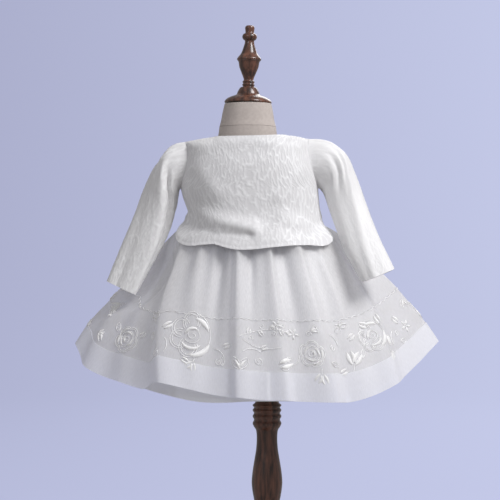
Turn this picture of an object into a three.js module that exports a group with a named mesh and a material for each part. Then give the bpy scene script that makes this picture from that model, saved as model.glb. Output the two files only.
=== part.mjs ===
// A long-sleeved christening gown on a limbless table-top dress form.
// Millimetres, Z up. The origin is the centre of the base's underside, and the gown's front faces -Y.
// Left and right are as seen from the front.
import * as THREE from "three";

const DEGREE = Math.PI / 180;

// Walls of cloth, and the gap left at every seam.
const BROCADE = 1.6;
const SLEEVE_CLOTH = 1.5;
const ORGANZA = 1.2;
const SATIN = 1.2;
const WAISTBAND_CLOTH = 3;
const SEAM = 0.3;
const SEAM_REACH = 2;

// The stand, from the floor up.
const BASE_TOP = 20;
const POST_TOP = 296;
const TORSO_FOOT = 296.3;
const NECK_FOOT = 627;
const CAP_FOOT = 660.3;
const CAP_X = -26.6;
const CAP_LEAN = 1.4 * DEGREE;

// Turned outlines: radius at each height, from the lower end up.
const BASE_OUTLINE = [
  { up: 0, radius: 0 },
  { up: 0, radius: 118 },
  { up: 2, radius: 120 },
  { up: 11, radius: 120 },
  { up: 15, radius: 117 },
  { up: 17, radius: 110 },
  { up: BASE_TOP, radius: 104 },
  { up: BASE_TOP, radius: 0 },
];
const POST_OUTLINE = [
  { up: 20.3, radius: 0 },
  { up: 20.3, radius: 31 },
  { up: 27, radius: 31 },
  { up: 33, radius: 24 },
  { up: 44, radius: 17 },
  { up: 60, radius: 13.5 },
  { up: 84, radius: 14 },
  { up: 105, radius: 18 },
  { up: 118, radius: 20.4 },
  { up: 130, radius: 21.5 },
  { up: 144, radius: 20.4 },
  { up: 156, radius: 18.6 },
  { up: 166, radius: 16.9 },
  { up: 177, radius: 15.2 },
  { up: 192, radius: 14.4 },
  { up: 203, radius: 15.4 },
  { up: 208, radius: 18.4 },
  { up: 212.8, radius: 20.2 },
  { up: 217.6, radius: 18.2 },
  { up: 222.6, radius: 20.2 },
  { up: 226.8, radius: 18.2 },
  { up: 231, radius: 20.2 },
  { up: 234.5, radius: 18.2 },
  { up: 238, radius: 20.2 },
  { up: 242, radius: 16.5 },
  { up: POST_TOP, radius: 16.5 },
  { up: POST_TOP, radius: 0 },
];
const CAP_OUTLINE = [
  { up: 0, radius: 0 },
  { up: 0, radius: 32.4 },
  { up: 1.8, radius: 33.1 },
  { up: 5.6, radius: 30 },
  { up: 8.7, radius: 24.4 },
  { up: 11.9, radius: 16.6 },
  { up: 16, radius: 14.8 },
  { up: 21.8, radius: 11.4 },
  { up: 23.4, radius: 7.8 },
  { up: 25.8, radius: 8.8 },
  { up: 28, radius: 7.6 },
  { up: 30.2, radius: 8.6 },
  { up: 32.4, radius: 6.8 },
  { up: 36, radius: 7.6 },
  { up: 41.9, radius: 10 },
  { up: 50.7, radius: 13.4 },
  { up: 58.1, radius: 14.8 },
  { up: 61.3, radius: 17 },
  { up: 64.2, radius: 15.6 },
  { up: 69.4, radius: 11.6 },
  { up: 77.3, radius: 8.6 },
  { up: 87.1, radius: 6.4 },
  { up: 89.5, radius: 9 },
  { up: 93.1, radius: 10.3 },
  { up: 96.6, radius: 9 },
  { up: 98.6, radius: 6.2 },
  { up: 106, radius: 6.6 },
  { up: 108.5, radius: 5 },
  { up: 109, radius: 0 },
];

// The form's torso and neck block: centre, half width and half depth at each height.
const TORSO_ROWS = [
  { z: TORSO_FOOT, centre: -8, half: 54, deep: 40 },
  { z: 302, centre: -9, half: 64, deep: 47 },
  { z: 318, centre: -11, half: 74, deep: 54 },
  { z: 345, centre: -13, half: 80, deep: 58 },
  { z: 385, centre: -15, half: 82, deep: 60 },
  { z: 430, centre: -17, half: 79, deep: 58 },
  { z: 475, centre: -18, half: 75, deep: 54 },
  { z: 515, centre: -20, half: 76, deep: 54 },
  { z: 550, centre: -24, half: 80, deep: 55 },
  { z: 578, centre: -26, half: 78, deep: 51 },
  { z: 592, centre: -27, half: 72, deep: 47 },
  { z: 599, centre: -27, half: 60, deep: 43 },
  { z: 605, centre: -27, half: 47.5, deep: 40.8 },
  { z: 611, centre: -27, half: 42.4, deep: 40.2 },
  { z: NECK_FOOT - SEAM, centre: -27, half: 39.6, deep: 39 },
];
const NECK_ROWS = [
  { z: NECK_FOOT, centre: -27, half: 39.6, deep: 39 },
  { z: 636, centre: -27, half: 37.3, deep: 37 },
  { z: 648, centre: -26.8, half: 35.2, deep: 35 },
  { z: CAP_FOOT - 4 * SEAM, centre: -26.6, half: 32.8, deep: 32.8 },
];
const FORM_SQUARE = 2.25;

// The top's sections from the hem up. Each gives its height at the front centre, how much higher its
// sides hang, its centre, half width, reach to the front and back, and how square its outline is.
const TOP_SECTIONS = [
  { z: 457, lift: 34, centre: -20, half: 103.5, front: 91, back: 92, square: 2.35 },
  { z: 464, lift: 30, centre: -20, half: 102, front: 89.5, back: 90, square: 2.35 },
  { z: 472, lift: 25, centre: -19.5, half: 99, front: 86, back: 88.5, square: 2.35 },
  { z: 478, lift: 21.5, centre: -19, half: 97, front: 83, back: 85.5, square: 2.35 },
  { z: 484, lift: 18, centre: -18.5, half: 95, front: 80, back: 80.5, square: 2.35 },
  { z: 498, lift: 11, centre: -18, half: 92.5, front: 74, back: 71, square: 2.4 },
  { z: 512, lift: 5, centre: -20, half: 93, front: 71, back: 68, square: 2.45 },
  { z: 527, lift: 1.5, centre: -22.5, half: 94.5, front: 69, back: 66, square: 2.5 },
  { z: 541, lift: 0, centre: -24.5, half: 95.5, front: 67, back: 64, square: 2.5 },
  { z: 545.5, lift: 0, centre: -24.8, half: 95.3, front: 66.5, back: 63.6, square: 2.5 },
  { z: 553, lift: 0, centre: -25, half: 94.6, front: 65.6, back: 63, square: 2.5 },
  { z: 565, lift: 0, centre: -25.3, half: 93, front: 64, back: 61.5, square: 2.5 },
  { z: 578, lift: 0, centre: -25.6, half: 90.6, front: 61.5, back: 60, square: 2.5 },
  { z: 591, lift: 0, centre: -26.2, half: 87.6, front: 57.5, back: 58, square: 2.5 },
];
const HEM_SIDE_LIFT_POWER = 8;
const SHOULDER_STEPS = 4;
const HALF_PANEL_COLUMNS = 10;

// Neckline and shoulder seams. The right shoulder sits a little higher, as the form leans.
const NECK_CENTRE = -23.5;
const NECK_HALF = 51;
const NECK_FRONT = 46.5;
const NECK_BACK = 45.5;
const NECK_HEIGHT = 611;
const NECK_SIDE_RISE = 2.5;
const NECK_CORNER = 0.4;
const SHOULDER_TIP = { left: -114.5, right: 57.5 };
const SHOULDER_DROP = 5.5;
const SHOULDER_LEAN = 0.024;

// Armholes: a tall oval opening in the top's sides.
const ARMHOLE_FOOT = 541;
const ARMHOLE_HEIGHT = 66;
const ARMHOLE_DEEP = 29;

// The back's panels lap by this much on each side of the centre, one over the other.
const LAP = 8;
const LAP_LIFT = 2.4;
const UNDERLAP_DROP = 1.3;

// The top's hem keeps at least this far off the skirt's folds.
const SKIRT_CLEARANCE = 3.2;

// Soft folds of the top's front: from one point to another (seen from the front), half width and height.
const FRONT_CREASES = [
  { x1: -88, z1: 508, x2: -24, z2: 493, wide: 11, high: 5.5 },
  { x1: -80, z1: 480, x2: -36, z2: 474, wide: 12, high: -5.5 },
  { x1: -44, z1: 464, x2: -40, z2: 478, wide: 5, high: 2.5 },
  { x1: -30, z1: 462, x2: -26, z2: 480, wide: 5, high: -2.5 },
  { x1: 20, z1: 500, x2: 58, z2: 486, wide: 10, high: 3 },
  { x1: 30, z1: 478, x2: 62, z2: 470, wide: 9, high: -3 },
  { x1: 42, z1: 560, x2: 16, z2: 528, wide: 11, high: 1.8 },
  { x1: -96, z1: 566, x2: -70, z2: 534, wide: 11, high: 1.8 },
];
const BACK_CREASES = [
  { x1: -92, z1: 504, x2: -46, z2: 492, wide: 11, high: 4 },
  { x1: -84, z1: 480, x2: -52, z2: 474, wide: 11, high: -4 },
  { x1: 12, z1: 492, x2: 62, z2: 506, wide: 12, high: 4 },
  { x1: 20, z1: 474, x2: 54, z2: 482, wide: 10, high: -4 },
  { x1: -92, z1: 566, x2: -64, z2: 536, wide: 11, high: 1.8 },
  { x1: 44, z1: 566, x2: 18, z2: 536, wide: 11, high: 1.8 },
];

// Sleeves from just outside the armhole to the cuff: the centre of each section, its size across (in
// the front view) and deep, how far its across line tilts above level and how far it turns to the back.
const SLEEVE_RIGHT = [
  { x: 78, y: -1, z: 576, across: 70, deep: 62, tilt: 84, turn: 0 },
  { x: 93.5, y: -4, z: 563, across: 63, deep: 56, tilt: 60, turn: 0 },
  { x: 101.5, y: -9, z: 546, across: 55, deep: 48, tilt: 42, turn: 0 },
  { x: 109, y: -18, z: 523, across: 52, deep: 42, tilt: 28, turn: 0 },
  { x: 119, y: -33, z: 492, across: 51, deep: 38, tilt: 22, turn: 0 },
  { x: 129.5, y: -52, z: 462, across: 51, deep: 34, tilt: 22, turn: 0 },
  { x: 139.5, y: -66, z: 441, across: 49, deep: 31, tilt: 22, turn: 0 },
  { x: 149, y: -79, z: 421, across: 47, deep: 29, tilt: 22, turn: 0 },
];
const SLEEVE_LEFT = [
  { x: -131, y: -1, z: 569.5, across: 64, deep: 62, tilt: -76, turn: 0 },
  { x: -143, y: -3, z: 550, across: 60, deep: 54, tilt: -52, turn: 0 },
  { x: -151, y: -6, z: 528, across: 57, deep: 47, tilt: -32, turn: 0 },
  { x: -160, y: -11, z: 499, across: 57, deep: 42, tilt: -22, turn: 0 },
  { x: -172, y: -17, z: 469, across: 56, deep: 38, tilt: -21, turn: 5 },
  { x: -187, y: -23, z: 436, across: 52, deep: 34, tilt: -22, turn: 12 },
  { x: -202, y: -29, z: 403, across: 46, deep: 31, tilt: -24, turn: 20 },
];
const HEAD_GAP = 1.9;
const SLEEVE_COLUMNS = 24;
const SLEEVE_RINGS = 12;
const SLEEVE_SQUARE = 2.15;

// Small pleats in the sleeve's head, in degrees on either side of its top, and how high they stand.
const HEAD_PLEATS = [-60, -30, 0, 30, 60];
const HEAD_PLEAT_WIDE = 8;
const HEAD_PLEAT_HIGH = 2.6;
const HEAD_PLEAT_LENGTH = 0.2;

// The waist seam, where the skirts hang from the waistband.
const WAIST_Z = 494;
const WAIST_CENTRE = -18;
const WAIST_HALF = 86;
const WAIST_DEEP = 63;
const WAISTBAND_HEIGHT = 18;
const HEM_CENTRE = -15;

// The organza skirt, down its length: where the upper part ends, and where the border ends.
const BORDER_FROM = 0.59;
const BAND_FROM = 0.87;
const SEAM_SHARE = (2 * SEAM) / 245;

// How the skirt runs from the waist (0) to the hem (1): its share of the reach outwards and of the drop.
const SKIRT_RUN = [
  { down: 0, out: 0, drop: 0 },
  { down: 0.12, out: 0.18, drop: 0.09 },
  { down: 0.33, out: 0.41, drop: 0.295 },
  { down: 0.545, out: 0.625, drop: 0.505 },
  { down: 0.68, out: 0.745, drop: 0.65 },
  { down: 0.84, out: 0.878, drop: 0.818 },
  { down: 1, out: 1, drop: 1 },
];

// Reach and drop of the hem all round, at degrees from the front centre, towards the right.
const OVERLAY_HEM = [
  { angle: -180, out: 84, drop: 236 },
  { angle: -155, out: 88, drop: 238 },
  { angle: -132, out: 108, drop: 232 },
  { angle: -110, out: 142, drop: 206 },
  { angle: -90, out: 163, drop: 172 },
  { angle: -78, out: 150, drop: 200 },
  { angle: -62, out: 121, drop: 216 },
  { angle: -46, out: 110, drop: 224 },
  { angle: -25, out: 82, drop: 236 },
  { angle: 0, out: 76, drop: 235 },
  { angle: 20, out: 80, drop: 237 },
  { angle: 42, out: 100, drop: 239 },
  { angle: 62, out: 121, drop: 221 },
  { angle: 75, out: 142, drop: 194 },
  { angle: 90, out: 163, drop: 170 },
  { angle: 110, out: 140, drop: 206 },
  { angle: 132, out: 106, drop: 232 },
  { angle: 155, out: 88, drop: 238 },
  { angle: 180, out: 84, drop: 236 },
];
const UNDERSKIRT_HEM = [
  { angle: -180, out: 66, drop: 238 },
  { angle: -128, out: 80, drop: 232 },
  { angle: -90, out: 108, drop: 214 },
  { angle: -52, out: 80, drop: 231 },
  { angle: -28, out: 68, drop: 240 },
  { angle: 0, out: 62, drop: 238 },
  { angle: 28, out: 66, drop: 238 },
  { angle: 52, out: 80, drop: 232 },
  { angle: 90, out: 110, drop: 212 },
  { angle: 128, out: 80, drop: 232 },
  { angle: 180, out: 66, drop: 238 },
];

// Ridges of the organza skirt: degrees at the waist and at the hem, height and half width at the hem,
// and how much of that height it already has at the waist's gathers.
const SKIRT_FOLDS = [
  { waist: -96, hem: -92, high: 8, wide: 6, early: 0.3 },
  { waist: -84, hem: -78, high: 9, wide: 5, early: 0.3 },
  { waist: -76, hem: -62, high: 4, wide: 5, early: 0.5 },
  { waist: -62, hem: -42, high: 11, wide: 5, early: 0.7 },
  { waist: -43, hem: -30, high: 6, wide: 4.5, early: 0.8 },
  { waist: -27, hem: -22, high: 4, wide: 4, early: 0.9 },
  { waist: -12, hem: -8.5, high: 8, wide: 5, early: 0.8 },
  { waist: 1, hem: 1, high: 3, wide: 3.5, early: 1 },
  { waist: 15, hem: 15, high: 7, wide: 5, early: 0.7 },
  { waist: 34, hem: 35, high: 8, wide: 5.5, early: 0.6 },
  { waist: 50, hem: 49, high: 5, wide: 5, early: 0.5 },
  { waist: 70, hem: 63, high: 10, wide: 5, early: 0.5 },
  { waist: 92, hem: 90, high: 9, wide: 6, early: 0.3 },
  { waist: 108, hem: 105, high: 7, wide: 6, early: 0.5 },
  { waist: 124, hem: 121, high: 9, wide: 6, early: 0.5 },
  { waist: 138, hem: 139, high: 5, wide: 5, early: 0.8 },
  { waist: 154, hem: 154, high: 9, wide: 5.5, early: 0.6 },
  { waist: 168, hem: 170, high: 5, wide: 5, early: 0.9 },
  { waist: 184, hem: 186, high: 9, wide: 6, early: 0.2 },
  { waist: 200, hem: 203, high: 6, wide: 5, early: 0.8 },
  { waist: 217, hem: 219, high: 9, wide: 6, early: 0.5 },
  { waist: 232, hem: 236, high: 6, wide: 5, early: 0.7 },
  { waist: 248, hem: 252, high: 8, wide: 6, early: 0.4 },
];
const FOLD_GROUND = 2.5;

// Gathers at the waist seam: how many all round, how high, and the length they fade over.
const GATHERS = 30;
const GATHER_HIGH = 2.2;
const GATHER_FADE = 0.3;

// The organza's hem rides up over the left of the front: height, and the degrees where it starts and ends.
const RIDE_UP = 11;
const RIDE_UP_FROM = -46;
const RIDE_UP_TO = 6;

// The left sleeve presses a hollow into the skirt: its depth and place at each height.
const SLEEVE_HOLLOW = [
  { z: 340, y: -30, into: 0 },
  { z: 366, y: -30, into: 5 },
  { z: 384, y: -30, into: 27 },
  { z: 402, y: -29, into: 39 },
  { z: 430, y: -25, into: 34 },
  { z: 455, y: -20, into: 14 },
  { z: 475, y: -17, into: 4 },
  { z: WAIST_Z, y: -12, into: 0 },
];
const SLEEVE_HOLLOW_WIDE = 27;
const UNDERSKIRT_PRESSED = 0.45;

// The underskirt starts this far inside the organza.
const UNDERSKIRT_INSET = 1.8;

const SKIRT_COLUMNS = 120;
const UPPER_STRIPS = 6;
const BORDER_STRIPS = 3;
const BAND_STRIPS = 1;
const UNDERSKIRT_COLUMNS = 60;
const UNDERSKIRT_STRIPS = 4;

// Buttons of the back opening.
const BUTTON_HEIGHTS = [594, 562, 530, 500];
const BUTTON_OUTLINE = [
  { up: 0, radius: 0 },
  { up: 0, radius: 4.4 },
  { up: 1.2, radius: 5 },
  { up: 2.6, radius: 4.4 },
  { up: 2.2, radius: 2.8 },
  { up: 2.2, radius: 0 },
];

const TURNED_SIDES = 22;
const BASE_SIDES = 40;
const BUTTON_SIDES = 10;
const FORM_SIDES = 28;

const MATERIALS = {
  brocade: { color: 0xeeedf0, roughness: 0.6, metalness: 0 },
  organza: { color: 0xe9e9f0, roughness: 0.5, metalness: 0 },
  satin: { color: 0xe4e4ec, roughness: 0.4, metalness: 0 },
  linen: { color: 0xb9aba4, roughness: 0.9, metalness: 0 },
  wood: { color: 0x3a2723, roughness: 0.35, metalness: 0 },
  pearl: { color: 0xf2efe9, roughness: 0.25, metalness: 0 },
};

function mix(from, to, share) {
  return from + (to - from) * share;
}

function clamp(value, low, high) {
  return Math.min(high, Math.max(low, value));
}

function smooth(value) {
  const share = clamp(value, 0, 1);
  return share * share * (3 - 2 * share);
}

function bump(distance, wide) {
  return Math.exp(-((distance / wide) ** 2));
}

// A signed power, for the rounded-square outlines.
function signedPower(value, power) {
  return Math.sign(value) * Math.abs(value) ** power;
}

// One row of a table, worked out smoothly between the rows on either side of a value.
function rowAt(table, column, value) {
  const last = table.length - 1;
  let i = 0;
  while (i < last - 1 && value > table[i + 1][column]) i += 1;
  const before = table[Math.max(i - 1, 0)];
  const from = table[i];
  const to = table[i + 1];
  const after = table[Math.min(i + 2, last)];
  const span = to[column] - from[column];
  const s = clamp((value - from[column]) / span, 0, 1);
  const row = {};
  for (const key of Object.keys(from)) {
    const slopeFrom = ((to[key] - before[key]) / (to[column] - before[column])) * span;
    const slopeTo = ((after[key] - from[key]) / (after[column] - from[column])) * span;
    row[key] =
      from[key] * (1 + 2 * s) * (1 - s) ** 2 +
      to[key] * s * s * (3 - 2 * s) +
      slopeFrom * s * (1 - s) ** 2 +
      slopeTo * s * s * (s - 1);
  }
  return row;
}

// A geometry from points and the corners of its triangles.
function geometryOf(points, corners) {
  const geometry = new THREE.BufferGeometry().setFromPoints(points);
  geometry.setIndex(corners);
  geometry.computeVertexNormals();
  return geometry;
}

// The slope of a line of points at one of them, from its neighbours, or from the next two at an end.
function slopeAt(line, i, closed) {
  const last = line.length - 1;
  if (closed) return line[(i + 1) % line.length].clone().sub(line[(i + last) % line.length]);
  if (i > 0 && i < last) return line[i + 1].clone().sub(line[i - 1]);
  const step = i === 0 ? 1 : -1;
  const near = line[i + step].clone().multiplyScalar(4);
  const far = line[clamp(i + 2 * step, 0, last)];
  if (line.length === 2) return line[1].clone().sub(line[0]);
  return near.addScaledVector(line[i], -3).sub(far).multiplyScalar(step);
}

// The way in, square to the cloth, at one point of a grid.
function inwardsAt(rows, r, c, closed) {
  const across = slopeAt(rows[r], c, closed);
  const down = slopeAt(rows.map((row) => row[c]), r, false);
  return across.cross(down).normalize();
}

// A cloth wall from a grid of points on its outer side. Rows run downwards, and each row's points run
// to the right as seen from outside. The inner side is each point moved in by the wall.
function clothWall(rows, wall, closed) {
  const height = rows.length;
  const width = rows[0].length;
  const points = rows.flat();
  const outerCount = points.length;
  for (let r = 0; r < height; r += 1) {
    for (let c = 0; c < width; c += 1) {
      points.push(rows[r][c].clone().addScaledVector(inwardsAt(rows, r, c, closed), wall));
    }
  }
  const outer = (r, c) => r * width + (closed ? c % width : c);
  const inner = (r, c) => outerCount + outer(r, c);
  const corners = [];
  const quad = (a, b, c, d) => corners.push(a, b, c, a, c, d);
  const lastColumn = closed ? width : width - 1;
  for (let r = 0; r < height - 1; r += 1) {
    for (let c = 0; c < lastColumn; c += 1) {
      quad(outer(r, c), outer(r + 1, c), outer(r + 1, c + 1), outer(r, c + 1));
      quad(inner(r, c), inner(r, c + 1), inner(r + 1, c + 1), inner(r + 1, c));
    }
  }
  for (let c = 0; c < lastColumn; c += 1) {
    const r = height - 1;
    quad(outer(0, c), outer(0, c + 1), inner(0, c + 1), inner(0, c));
    quad(outer(r, c + 1), outer(r, c), inner(r, c), inner(r, c + 1));
  }
  if (!closed) {
    for (let r = 0; r < height - 1; r += 1) {
      const c = width - 1;
      quad(outer(r + 1, 0), outer(r, 0), inner(r, 0), inner(r + 1, 0));
      quad(outer(r, c), outer(r + 1, c), inner(r + 1, c), inner(r, c));
    }
  }
  return geometryOf(points, corners);
}

// A solid through a stack of rings, from the lowest up, closed at both ends.
function solidThroughRings(rings) {
  const sides = rings[0].length;
  const points = rings.flat();
  const centreOf = (ring) =>
    ring.reduce((sum, p) => sum.add(p), new THREE.Vector3()).divideScalar(sides);
  const foot = points.push(centreOf(rings[0])) - 1;
  const head = points.push(centreOf(rings[rings.length - 1])) - 1;
  const corners = [];
  for (let c = 0; c < sides; c += 1) {
    const next = (c + 1) % sides;
    for (let r = 0; r < rings.length - 1; r += 1) {
      const low = r * sides;
      const high = low + sides;
      corners.push(low + c, low + next, high + next, low + c, high + next, high + c);
    }
    const top = (rings.length - 1) * sides;
    corners.push(foot, next, c, head, top + c, top + next);
  }
  return geometryOf(points, corners);
}

function formGeometry(table) {
  const rings = table.map((row) =>
    Array.from({ length: FORM_SIDES }, (_, c) => {
      const angle = (c / FORM_SIDES) * 2 * Math.PI;
      const x = row.centre + row.half * signedPower(Math.sin(angle), 2 / FORM_SQUARE);
      const y = -row.deep * signedPower(Math.cos(angle), 2 / FORM_SQUARE);
      return new THREE.Vector3(x, y, row.z);
    }),
  );
  return solidThroughRings(rings);
}

function turnedGeometry(outline, sides) {
  const profile = outline.map((row) => new THREE.Vector2(row.radius, row.up));
  return new THREE.LatheGeometry(profile, sides);
}

// Height of the folds at a point of the top, as seen from the front or the back.
function creaseHeight(creases, x, z) {
  let height = 0;
  for (const crease of creases) {
    const alongX = crease.x2 - crease.x1;
    const alongZ = crease.z2 - crease.z1;
    const share = ((x - crease.x1) * alongX + (z - crease.z1) * alongZ) / (alongX ** 2 + alongZ ** 2);
    const near = clamp(share, 0, 1);
    const offX = x - crease.x1 - near * alongX;
    const offZ = z - crease.z1 - near * alongZ;
    height += crease.high * bump(Math.hypot(offX, offZ), crease.wide);
  }
  return height;
}

// Where the armhole's edge lies, away from the side, at a height.
function armholeReach(z) {
  const middle = ARMHOLE_FOOT + ARMHOLE_HEIGHT / 2;
  const share = clamp((z - middle) / (ARMHOLE_HEIGHT / 2), -1, 1);
  return z < ARMHOLE_FOOT ? 0 : ARMHOLE_DEEP * Math.sqrt(1 - share * share);
}

// A point of the top below the shoulders. turn is -1 to 1 across the panel, facing -1 is the front.
function sectionPoint(row, turn, facing) {
  const reach = facing < 0 ? row.front : row.back;
  const edge = armholeReach(row.z) / reach;
  const widest = Math.acos(edge ** (row.square / 2));
  const angle = turn * widest;
  const power = 2 / row.square;
  const z = row.z + row.lift * Math.abs(Math.sin(angle)) ** HEM_SIDE_LIFT_POWER;
  const x = row.centre + row.half * signedPower(Math.sin(angle), power);
  const creases = facing < 0 ? FRONT_CREASES : BACK_CREASES;
  const fold = creaseHeight(creases, x, z) * Math.cos(angle) ** 0.5;
  const y = facing * (reach * Math.abs(Math.cos(angle)) ** power + fold);
  return new THREE.Vector3(x, y, z);
}

// A point of the top edge: the neckline in the middle and a shoulder seam on either side.
function topEdgePoint(turn, facing) {
  const side = Math.sign(turn);
  const away = Math.abs(turn);
  const point = new THREE.Vector3();
  if (away <= NECK_CORNER) {
    const around = (away / NECK_CORNER) * (Math.PI / 2);
    const depth = facing < 0 ? NECK_FRONT : NECK_BACK;
    point.x = NECK_CENTRE + side * NECK_HALF * Math.sin(around);
    point.y = facing * depth * Math.cos(around);
    point.z = NECK_HEIGHT + NECK_SIDE_RISE * Math.sin(around) ** 2;
  } else {
    const corner = Math.sin((NECK_CORNER * Math.PI) / 2);
    const share = (Math.sin((away * Math.PI) / 2) - corner) / (1 - corner);
    const tip = side < 0 ? SHOULDER_TIP.left : SHOULDER_TIP.right;
    point.x = mix(NECK_CENTRE + side * NECK_HALF, tip, share);
    point.z = NECK_HEIGHT + NECK_SIDE_RISE - SHOULDER_DROP * share ** 1.5;
  }
  point.z += SHOULDER_LEAN * (point.x - NECK_CENTRE);
  return point;
}

// The rows of a front or back panel, from the shoulder and neckline down to the hem.
function panelRows(turns, facing) {
  const highest = TOP_SECTIONS[TOP_SECTIONS.length - 1];
  const rows = [];
  for (let step = SHOULDER_STEPS; step > 0; step -= 1) {
    const share = step / SHOULDER_STEPS;
    rows.push(
      turns.map((turn) => {
        const chest = sectionPoint(highest, turn, facing);
        const edge = topEdgePoint(turn, facing);
        const corner = new THREE.Vector3(mix(chest.x, edge.x, 0.5), chest.y, edge.z);
        const curve = new THREE.QuadraticBezierCurve3(chest, corner, edge);
        return curve.getPoint(share);
      }),
    );
  }
  for (const row of [...TOP_SECTIONS].reverse()) {
    rows.push(turns.map((turn) => sectionPoint(row, turn, facing)));
  }
  return rows;
}

// Leaves a gap along the side seams and the shoulder seams, which all lie in the plane of the sides.
function openSeams(rows, facing) {
  for (const row of rows) {
    for (const point of row) point.y = Math.abs(point.y) < SEAM_REACH ? facing * SEAM : point.y;
  }
}

function evenTurns(from, to, count) {
  return Array.from({ length: count + 1 }, (_, i) => mix(from, to, i / count));
}

// The degrees and the reach from the waist, on the skirts' own terms, of a place round the waist.
function reachFromWaist(point) {
  const x = point.x - WAIST_CENTRE;
  const y = -point.y;
  let out = 0;
  let angle = 0;
  for (let i = 0; i < 6; i += 1) {
    angle = Math.atan2(x / (WAIST_HALF + out), y / (WAIST_DEEP + out));
    const along = x * Math.sin(angle) + y * Math.cos(angle);
    out = along - WAIST_HALF * Math.sin(angle) ** 2 - WAIST_DEEP * Math.cos(angle) ** 2;
  }
  return { degrees: angle / DEGREE, out };
}

// How far the organza skirt reaches out at some degrees and a height, down to the top's hem.
function skirtReachAt(degrees, z) {
  let low = 0;
  let high = 0.4;
  for (let i = 0; i < 12; i += 1) {
    const middle = (low + high) / 2;
    if (overlayPoint(degrees, middle).z > z) low = middle;
    else high = middle;
  }
  return reachFromWaist(overlayPoint(degrees, low)).out;
}

// Moves a point of the top out where the skirt's folds would touch it.
function clearOfSkirt(point) {
  if (point.z > WAIST_Z - 3) return;
  const place = reachFromWaist(point);
  const reaches = [-10, -5, 0, 5, 10].map((off) => skirtReachAt(place.degrees + off, point.z));
  const needed = Math.max(...reaches) + BROCADE + SKIRT_CLEARANCE - place.out;
  if (needed <= 0) return;
  point.x += needed * Math.sin(place.degrees * DEGREE);
  point.y -= needed * Math.cos(place.degrees * DEGREE);
}

function frontRows() {
  const rows = panelRows(evenTurns(-1, 1, 2 * HALF_PANEL_COLUMNS), -1);
  rows.flat().forEach(clearOfSkirt);
  openSeams(rows, -1);
  return rows;
}

// A back panel: -1 is the left one, which lies under the lap, and 1 is the right one, on top of it.
// Seen from outside, its columns run from the right to the left.
function backRows(side) {
  const outward = panelRows(evenTurns(side, 0, HALF_PANEL_COLUMNS), 1);
  outward.flat().forEach(clearOfSkirt);
  openSeams(outward, 1);
  const rows = side > 0 ? outward : outward.map((row) => [...row].reverse());
  const edge = side > 0 ? HALF_PANEL_COLUMNS : 0;
  const inwards = rows.map((row, r) => inwardsAt(rows, r, edge, false));
  const lifts = side > 0 ? [-LAP_LIFT, -LAP_LIFT, -LAP_LIFT / 3] : [UNDERLAP_DROP, UNDERLAP_DROP, 0];
  const shifts = [LAP, LAP * 0.4, 0];
  rows.forEach((row, r) => {
    shifts.forEach((shift, i) => {
      const point = row[edge - side * i];
      point.x -= side * shift;
      point.addScaledVector(inwards[r], lifts[i]);
    });
  });
  return rows;
}

// The armhole's edge on one side, as a line up the front and a line up the back.
function armholeEdges(front, backLeft, backRight, side) {
  const last = 2 * HALF_PANEL_COLUMNS;
  const isArmhole = (row) => row.z >= ARMHOLE_FOOT - 0.1;
  const edgeOf = (rows, column) => rows.map((row) => row[column]).filter(isArmhole);
  const frontEdge = edgeOf(front, side > 0 ? last : 0);
  const backEdge = side > 0 ? edgeOf(backRight, 0) : edgeOf(backLeft, HALF_PANEL_COLUMNS);
  return { front: frontEdge.reverse(), back: backEdge.reverse() };
}

// A point at a share of the length of a line of points.
function alongLine(line, share) {
  const lengths = [0];
  for (let i = 1; i < line.length; i += 1) lengths.push(lengths[i - 1] + line[i].distanceTo(line[i - 1]));
  const wanted = share * lengths[line.length - 1];
  let i = 1;
  while (i < line.length - 1 && lengths[i] < wanted) i += 1;
  const part = (wanted - lengths[i - 1]) / (lengths[i] - lengths[i - 1]);
  return line[i - 1].clone().lerp(line[i], clamp(part, 0, 1));
}

// The sleeve's own edge at the armhole, just outside the top. Angle 0 is the front, 90 towards +X.
function sleeveHeadPoint(edges, side, angle) {
  const offFront = angleBetween(angle, 0);
  const offBack = angleBetween(angle, 180);
  if (Math.abs(offFront) <= 90) return alongLine(edges.front, (90 + side * offFront) / 180);
  return alongLine(edges.back, (90 - side * offBack) / 180);
}

function sleeveSectionPoint(row, angle) {
  const across = new THREE.Vector3(Math.cos(row.tilt * DEGREE), 0, Math.sin(row.tilt * DEGREE));
  const power = 2 / SLEEVE_SQUARE;
  const sideways = (row.across / 2) * signedPower(Math.sin(angle * DEGREE), power);
  const forwards = (row.deep / 2) * signedPower(Math.cos(angle * DEGREE), power);
  const turn = row.turn * DEGREE;
  const point = new THREE.Vector3(row.x, row.y, row.z);
  point.addScaledVector(across, sideways * Math.cos(turn) + forwards * Math.sin(turn));
  point.y += sideways * Math.sin(turn) - forwards * Math.cos(turn);
  return point;
}

function angleBetween(a, b) {
  return ((((a - b + 180) % 360) + 360) % 360) - 180;
}

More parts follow.
